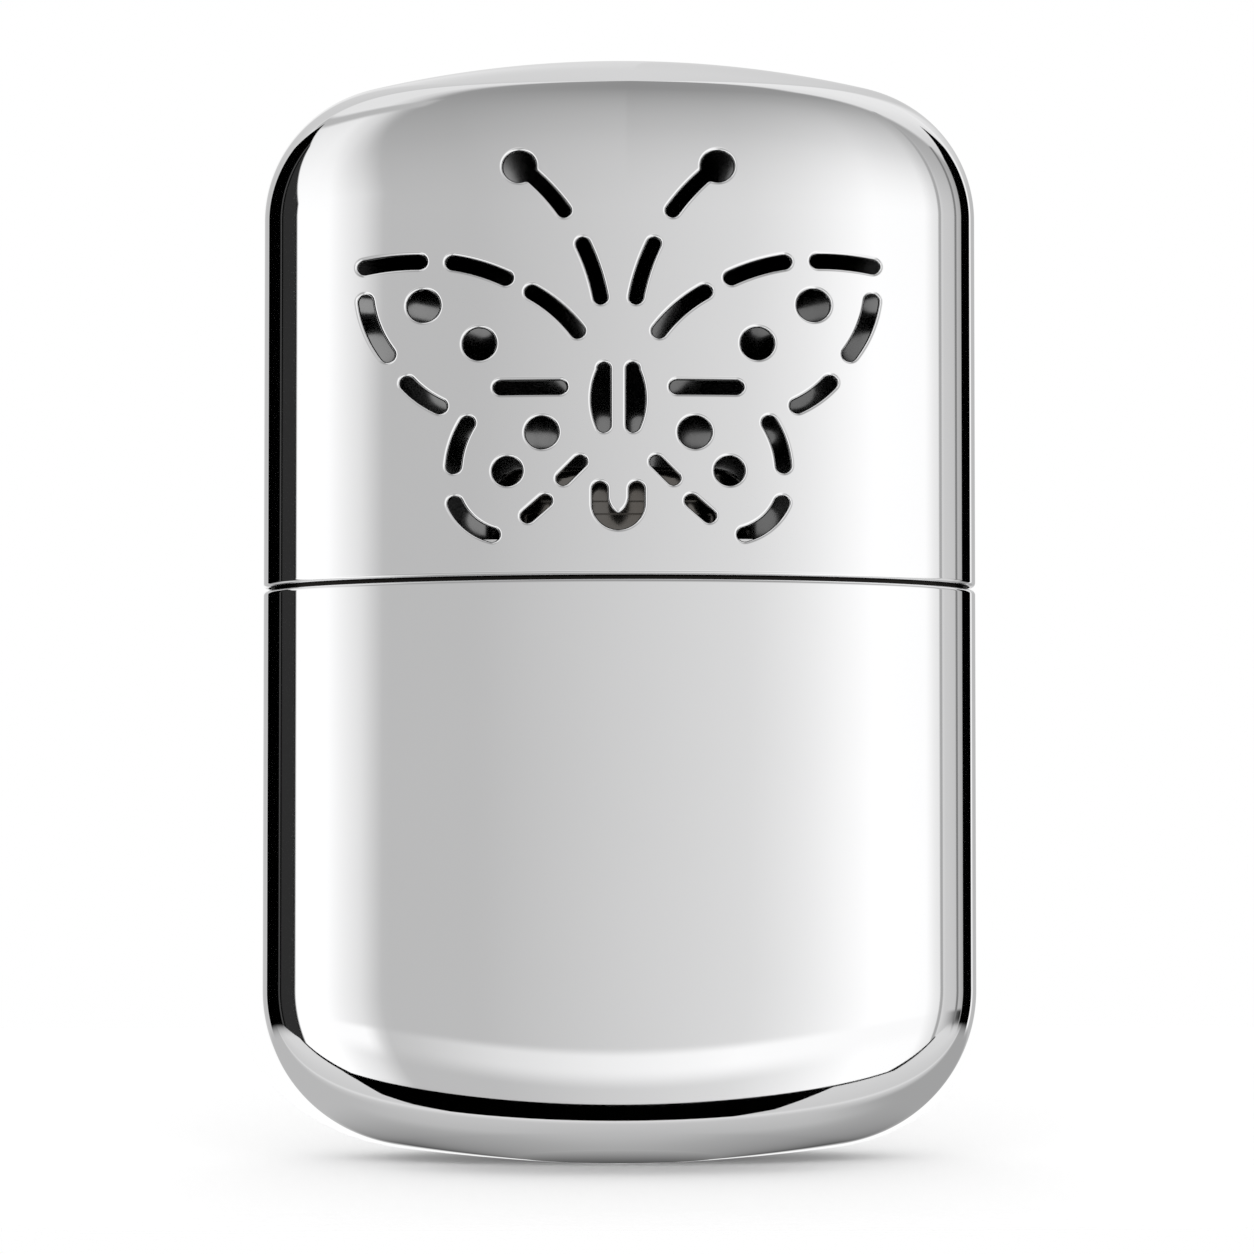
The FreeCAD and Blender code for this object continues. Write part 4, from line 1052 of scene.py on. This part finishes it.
feed(result["Mask"], combine("MULTIPLY", soft_step(given["Angle"], given["From"]),
                             soft_step(given["To"], given["Angle"])))


def panel_mask(angle, start, end, soft):
    """The mask of a panel between two angles, which may themselves change over the studio."""
    return place_group(angle.id_data, studio_panel, Angle=angle, From=start, To=end, Soft=soft)["Mask"]


def both(first, second):
    """The overlap of two masks."""
    return combine("MULTIPLY", first, second)


# %% Where the base hides the floor
LOOK_UP = math.tan(math.radians(9.6))
FROM_AXIS = (0, 3, 6, 8, 10, 13, 16, 19, 21, 23, 25, 27, 28.5, 30, 31, 32, 32.9)


def hidden_up_to(x):
    """The furthest point of the floor, in mm towards the back, that the base hides from a low camera."""
    return max(deep * math.sqrt(1 - (x / wide) ** 2) - level / LOOK_UP
               for wide, deep, level, *growth in tank_rings if wide > x)


HIDDEN = [(x, hidden_up_to(x)) for x in FROM_AXIS]
print("the base hides the floor up to", [round(reach, 1) for x, reach in HIDDEN])

# %% Floor
FLOOR_PAINT = (0.97, 0.97, 0.97, 1)
FLOOR_LIFT = 0.05
# Up to where the underside is matt, in mm, and over how many mm that ends.
MATT_TO_BACK, MATT_TO_SIDE = (46.0, 22.0), (62.0, 26.0)
FAR = 999.0


def spot_in_mm(place):
    """Where a spot of a flat card lies, in mm to the right of the case's axis and towards the back."""
    spot = add_node(place.id_data, "SeparateXYZ", Vector=place).outputs
    return combine("MULTIPLY", spot["X"], 1 / MM), combine("MULTIPLY", spot["Y"], 1 / MM)


white_floor, tree, shader, place = new_material("white_floor")
tree.nodes.remove(shader)
to_right, to_back = spot_in_mm(place)
from_axis = combine("ABSOLUTE", to_right)
behind = combine("GREATER_THAN", to_back, ramp(from_axis, HIDDEN, -80.0, 10.0))
near_case = both(panel_mask(to_back, -FAR, *MATT_TO_BACK), panel_mask(from_axis, -FAR, *MATT_TO_SIDE))
# The backdrop is pure white to the camera, so the floor gets the last twentieth that paint can't give.
for_camera = combine("MULTIPLY", add_node(tree, "LightPath").outputs["Is Camera Ray"], FLOOR_LIFT)
lift = add_node(tree, "Emission", Color=(1, 1, 1, 1), Strength=for_camera).outputs["Emission"]


def lifted(kind):
    """A floor paint of one kind with the lift added."""
    total = tree.nodes.new("ShaderNodeAddShader")
    feed(total.inputs[0], add_node(tree, kind, Color=FLOOR_PAINT).outputs["BSDF"])
    feed(total.inputs[1], lift)
    return total.outputs["Shader"]


clear = add_node(tree, "BsdfTransparent").outputs["BSDF"]
underside = mix_shaders(both(behind, near_case), clear, lifted("BsdfTranslucent"))
from_below = add_node(tree, "NewGeometry").outputs["Backfacing"]
surface = mix_shaders(from_below, lifted("BsdfDiffuse"), underside)
feed(tree.nodes["Material Output"].inputs["Surface"], surface)

FLOOR_REACH, FLOOR_LEVEL = 6000.0, -0.02
corners = [(x * FLOOR_REACH, y * FLOOR_REACH, FLOOR_LEVEL) for x, y in ((-1, -1), (1, -1), (1, 1), (-1, 1))]
floor = make_piece("floor", corners, [(0, 1, 2, 3)], (white_floor,), None)
floor.visible_glossy = False

# %% [markdown]
# ## Studio
# A mirror only shows its surroundings, so the look of the case is set by the studio round it. White
# panels stand at both sides and behind, a grey one in front, and black flags at the left and right edges
# draw the dark lines that give polished metal its shape. They are painted in the world by direction, and
# only glossy rays see them. To the camera the world is plain white, and everything else gets plain white
# light from it.

# %% Directions in the world
world = bpy.data.worlds.new("studio")
bpy.context.scene.world = world
world.use_nodes = True
tree = world.node_tree
tree.nodes.clear()
sky = add_node(tree, "SeparateXYZ", Vector=add_node(tree, "TexCoord").outputs["Generated"]).outputs
azimuth = combine("DEGREES", combine("ARCTAN2", sky["X"], combine("MULTIPLY", sky["Y"], -1.0)))
elevation = combine("DEGREES", combine("ARCSINE", sky["Z"]))
print("world", world.name, "with", len(tree.nodes), "nodes")

# %% Brightness round the studio
# Bearings in degrees, 0 straight in front and positive to the right, each with its brightness.
AT_EYE_LEVEL = (
    (-180, 0.74), (-171, 0.82), (-166, 1.04), (-150, 1.08), (-144, 0.64), (-118, 0.56), (-109, 0.60),
    (-55, 1.14), (-37, 1.14), (-33, 1.01), (-28.4, 0.86), (-26, 0.71), (-23.7, 0.55), (-12, 0.56),
    (0, 0.69), (10, 0.79), (16, 0.92), (20, 1.02), (26, 1.14), (42, 1.12), (47, 0.93), (51, 0.86),
    (54, 0.66), (64, 0.62), (76, 0.45), (105, 0.80), (107, 1.05), (112, 1.05), (117, 0.55), (150, 0.52),
    (180, 0.74),
)
OVERHEAD = (
    (-180, 0.74), (-100, 0.66), (-93, 0.86), (-46, 0.84), (-37, 0.68), (-30, 0.34), (0, 0.30), (33, 0.33),
    (39, 0.84), (60, 0.90), (110, 0.92), (126, 0.68), (180, 0.74),
)
# How far the overhead brightness has taken over at each elevation.
TAKE_OVER = (
    (-90, 0.0), (9, 0.0), (15, 0.06), (20, 0.15), (25, 0.27), (30, 0.41), (40, 0.62), (50, 0.82),
    (60, 0.97), (66, 1.0), (90, 1.0),
)


def beyond(value, start, slope):
    """A slope that only starts past a value, and is zero before it."""
    return combine("MULTIPLY", combine("MAXIMUM", combine("SUBTRACT", value, start), 0.0), slope)


# The grey front panel gets wider towards the top on the left, and the overhead one leans out on the right.
on_left = combine("LESS_THAN", azimuth, 0.0)
leaning = combine("ADD", azimuth, both(on_left, beyond(elevation, 15.0, 0.28)))
lean_out = beyond(combine("SUBTRACT", 67.0, elevation), 0.0, 1.2)
leaning_over = combine("MAXIMUM", combine("SUBTRACT", azimuth, lean_out), combine("MINIMUM", azimuth, 0.0))
brightness = blend_values(ramp(elevation, TAKE_OVER), ramp(leaning, AT_EYE_LEVEL),
                          ramp(leaning_over, OVERHEAD))
print("brightness from", len(AT_EYE_LEVEL) + len(OVERHEAD), "stops")


# %% Strip and table edge
LIGHT_STRIP = (
    (-180, 0.60), (-40, 1.14), (-27.5, 1.10), (-24.5, 0.60), (-20, 0.64), (-10, 0.83), (0, 0.98),
    (10, 1.10), (42, 1.08), (50, 0.84), (60, 0.47), (70, 0.10), (76, 0.02), (180, 0.02),
)
STRIP_FOOT, STRIP_TOP, STRIP_ENDS = -5.2, 0.0, (-40.0, 77.0)
TABLE_BEARINGS, TABLE_ELEVATIONS, TABLE_TONE = (-26.0, 10.0), (-26.0, -16.0), 0.34
strip = both(panel_mask(elevation, -FAR, STRIP_TOP, 1.6), panel_mask(elevation, STRIP_FOOT, FAR, 5.0))
strip = both(strip, panel_mask(azimuth, *STRIP_ENDS, 2.0))
brightness = blend_values(strip, brightness, ramp(azimuth, LIGHT_STRIP))
table_edge = both(panel_mask(azimuth, *TABLE_BEARINGS, 18.0), panel_mask(elevation, *TABLE_ELEVATIONS, 5.0))
brightness = blend_values(table_edge, brightness, TABLE_TONE)
print("strip from", len(LIGHT_STRIP), "stops")


# %% Panels and flags
def panel_over(below, bearings, heights, soft, tone):
    """The studio with one more panel in it, between two bearings and two elevations."""
    return blend_values(both(panel_mask(azimuth, *bearings, soft), panel_mask(elevation, *heights, soft)),
                        below, tone)


def edge_line(start, *bends):
    """The bearing of a flag's edge, which bends at some elevations. A bend is an elevation and a slope."""
    for bend, slope in bends:
        start = combine("ADD", start, beyond(elevation, bend, slope))
    return start


FLAG_SOFT = 1.4
left_outer = edge_line(-106.5, (15.0, 0.15), (40.0, 1.2))
left_inner = edge_line(-53.0, (15.0, -0.6), (40.0, -0.8))
right_inner = edge_line(78.0, (35.0, 0.75))
right_outer = edge_line(106.0, (15.0, -0.1), (40.0, -1.0))
flag_tone = panel_over(0.0, (-68, -54), (-90, 90), 2.0, 0.03)
flag_tone = panel_over(flag_tone, (-72, -70), (-90, 90), 1.0, 0.07)
brightness = panel_over(brightness, (-95, -29), (50, 56), 3.0, 0.52)
brightness = blend_values(panel_mask(azimuth, left_outer, left_inner, FLAG_SOFT), brightness, flag_tone)
brightness = blend_values(panel_mask(azimuth, right_inner, right_outer, FLAG_SOFT), brightness, 0.0)
brightness = panel_over(brightness, (50.3, 52.4), (-90, 55), 1.0, 0.42)
brightness = panel_over(brightness, (66.5, 69.5), (-90, 40), 1.2, 0.22)
print("two flags and three thin panels")

# %% Who sees what
SOFT_LIGHT = 0.96
# Only a reflection that met nothing matt or clear on its way sees the painted studio.
ray = add_node(tree, "LightPath").outputs
straight = combine("LESS_THAN", combine("MAXIMUM", ray["Diffuse Depth"], ray["Transmission Depth"]), 0.5)
seen = blend_values(both(ray["Is Glossy Ray"], straight), SOFT_LIGHT, brightness)
through_glass = both(ray["Is Transmission Ray"], combine("SUBTRACT", 1.0, ray["Is Diffuse Ray"]))
seen = blend_values(combine("MAXIMUM", ray["Is Camera Ray"], through_glass), seen, 1.0)
backdrop = add_node(tree, "Background", Color=(1, 1, 1, 1), Strength=seen)
add_node(tree, "OutputWorld", Surface=backdrop.outputs["Background"])
print("studio nodes", len(tree.nodes))

# %% [markdown]
# The underside of the base reflects the table top close to it. For reflections that table top is a
# painted card: pale outside, with a bright edge, and darker towards the foot, where the base shades it.
# A black strip lies on its front edge and draws the dark line along the base. Only glossy rays see the
# two cards.

# %% Painted card for the reflections from below
TOWARDS_FOOT = (
    (-60, 0.80), (-24, 0.74), (-11.9, 0.66), (-11.3, 0.80), (-10.8, 0.72), (-10.0, 0.60), (-8, 0.57),
    (-6, 0.53), (-4.5, 0.42), (-3, 0.36), (-1, 0.29), (1.5, 0.19), (4.5, 0.08), (8, 0.28), (13, 0.50),
    (60, 0.60),
)
LEFT_TONE, RIGHT_TONE = 0.53, 0.40
OUTER_SIDE, OUTER_BACK = 25.0, -9.0
# Up to where the card is whole, in mm, and over how many mm it fades.
FADE_TO_BACK, FADE_TO_SIDE = (95.0, 80.0), (130.0, 90.0)
table_card, tree, shader, place = new_material("table_card")
tree.nodes.remove(shader)
to_right, to_back = spot_in_mm(place)
from_axis = combine("ABSOLUTE", to_right)
away = both(panel_mask(from_axis, OUTER_SIDE, FAR, 14.0), panel_mask(to_back, OUTER_BACK, FAR, 2.0))
outer_tone = blend_values(combine("GREATER_THAN", to_right, 0.0), LEFT_TONE, RIGHT_TONE)
tone = blend_values(away, ramp(to_back, TOWARDS_FOOT), outer_tone)
shine = add_node(tree, "Emission", Color=(1, 1, 1, 1), Strength=tone).outputs["Emission"]
nothing = add_node(tree, "BsdfTransparent").outputs["BSDF"]
close_by = both(panel_mask(to_back, -FAR, *FADE_TO_BACK), panel_mask(from_axis, -FAR, *FADE_TO_SIDE))
feed(tree.nodes["Material Output"].inputs["Surface"], mix_shaders(close_by, nothing, shine))
black_card, tree, shader, place = new_material("black_card")
set_node(shader, Base_Color=(0, 0, 0, 1), Roughness=1.0, Specular_IOR_Level=0.0)


# %% The two cards
def flat_card(name, outline, level, material, *unseen_by):
    """A flat card of the studio, hidden from some kinds of rays."""
    corners = [(x, y, level) for x, y in outline]
    card = make_piece(name, corners, [tuple(range(len(corners)))], (material,), None)
    for way in ("camera", "volume_scatter", *unseen_by):
        setattr(card, "visible_" + way, False)


flat_card("table_reflection", (
    (-400, -60), (-90, -45), (-40, -24), (40, -24), (90, -50), (400, -150), (400, 400), (-400, 400),
), -0.01, table_card, "diffuse", "transmission", "shadow")
flat_card("strip_reflection", (
    (-40, -24), (40, -24), (90, -50), (90, -48), (41, -22.8), (28, -22.5), (21, -16.4), (17, -13.2),
    (12, -11.6), (-18, -11.6), (-23, -12.4), (-28.5, -14.3), (-36, -19.5), (-43, -23.5), (-90, -43),
    (-400, -57), (-400, -60), (-90, -45),
), -0.005, black_card, "diffuse", "transmission", "shadow")

# %% [markdown]
# Most light is the soft light of the world, which comes from everywhere. A very wide lamp overhead gives
# it a direction. A polished case throws back nearly all the light it takes away, so its shadow on the
# floor is faint; a small black card just behind the case, which only the floor's light meets, deepens it
# close to the foot.

# %% Shadow card
CARD_BACK, CARD_DEEP, CARD_HALF_WIDTH, CARD_LEVEL = 7.6, 4.8, 20.5, 6.0
CARD_PARTS = 24
arc = [math.pi * step / CARD_PARTS for step in range(CARD_PARTS + 1)]
flat_card("shadow_card", [
    (CARD_HALF_WIDTH * math.cos(turn), CARD_BACK + CARD_DEEP * math.sin(turn)) for turn in arc
], CARD_LEVEL, black_card, "glossy")

# %% Lamp
LAMP_ANGLE, LAMP_LIGHT = 80.0, 0.08
lamp_data = bpy.data.lights.new("overhead", "SUN")
lamp_data.angle = math.radians(LAMP_ANGLE)
lamp_data.energy = math.pi * LAMP_LIGHT
lamp = bpy.data.objects.new("overhead", lamp_data)
lamp.visible_glossy = False
bpy.context.scene.collection.objects.link(lamp)
print("lamp", lamp_data.type, round(lamp_data.energy, 2))

# %% [markdown]
# ## Camera
# A long lens almost two metres away keeps the upright lines parallel. It stands in front, a touch to the
# right, and looks up by not quite ten degrees, so that the underside of the base shows.

# %% Camera
AIM = Vector((0.73, 0.0, 49.55))
AZIMUTH, ELEVATION, DISTANCE = 0.6, -9.6, 1900.0
VIEW_WIDTH, SENSOR = 116.2, 36.0
azimuth_turn, elevation_turn = math.radians(AZIMUTH), math.radians(ELEVATION)
towards_eye = Vector((math.sin(azimuth_turn) * math.cos(elevation_turn),
                      -math.cos(azimuth_turn) * math.cos(elevation_turn), math.sin(elevation_turn)))
camera_data = bpy.data.cameras.new("camera")
camera_data.sensor_width = SENSOR
camera_data.lens = SENSOR * DISTANCE / VIEW_WIDTH
camera_data.clip_end = 100.0
camera = bpy.data.objects.new("camera", camera_data)
camera.location = (AIM + towards_eye * DISTANCE) * MM
camera.rotation_euler = (-towards_eye).to_track_quat("-Z", "Y").to_euler()
bpy.context.scene.collection.objects.link(camera)
bpy.context.scene.camera = camera
bpy.context.scene.view_settings.view_transform = "Standard"
print("lens", round(camera_data.lens, 1))
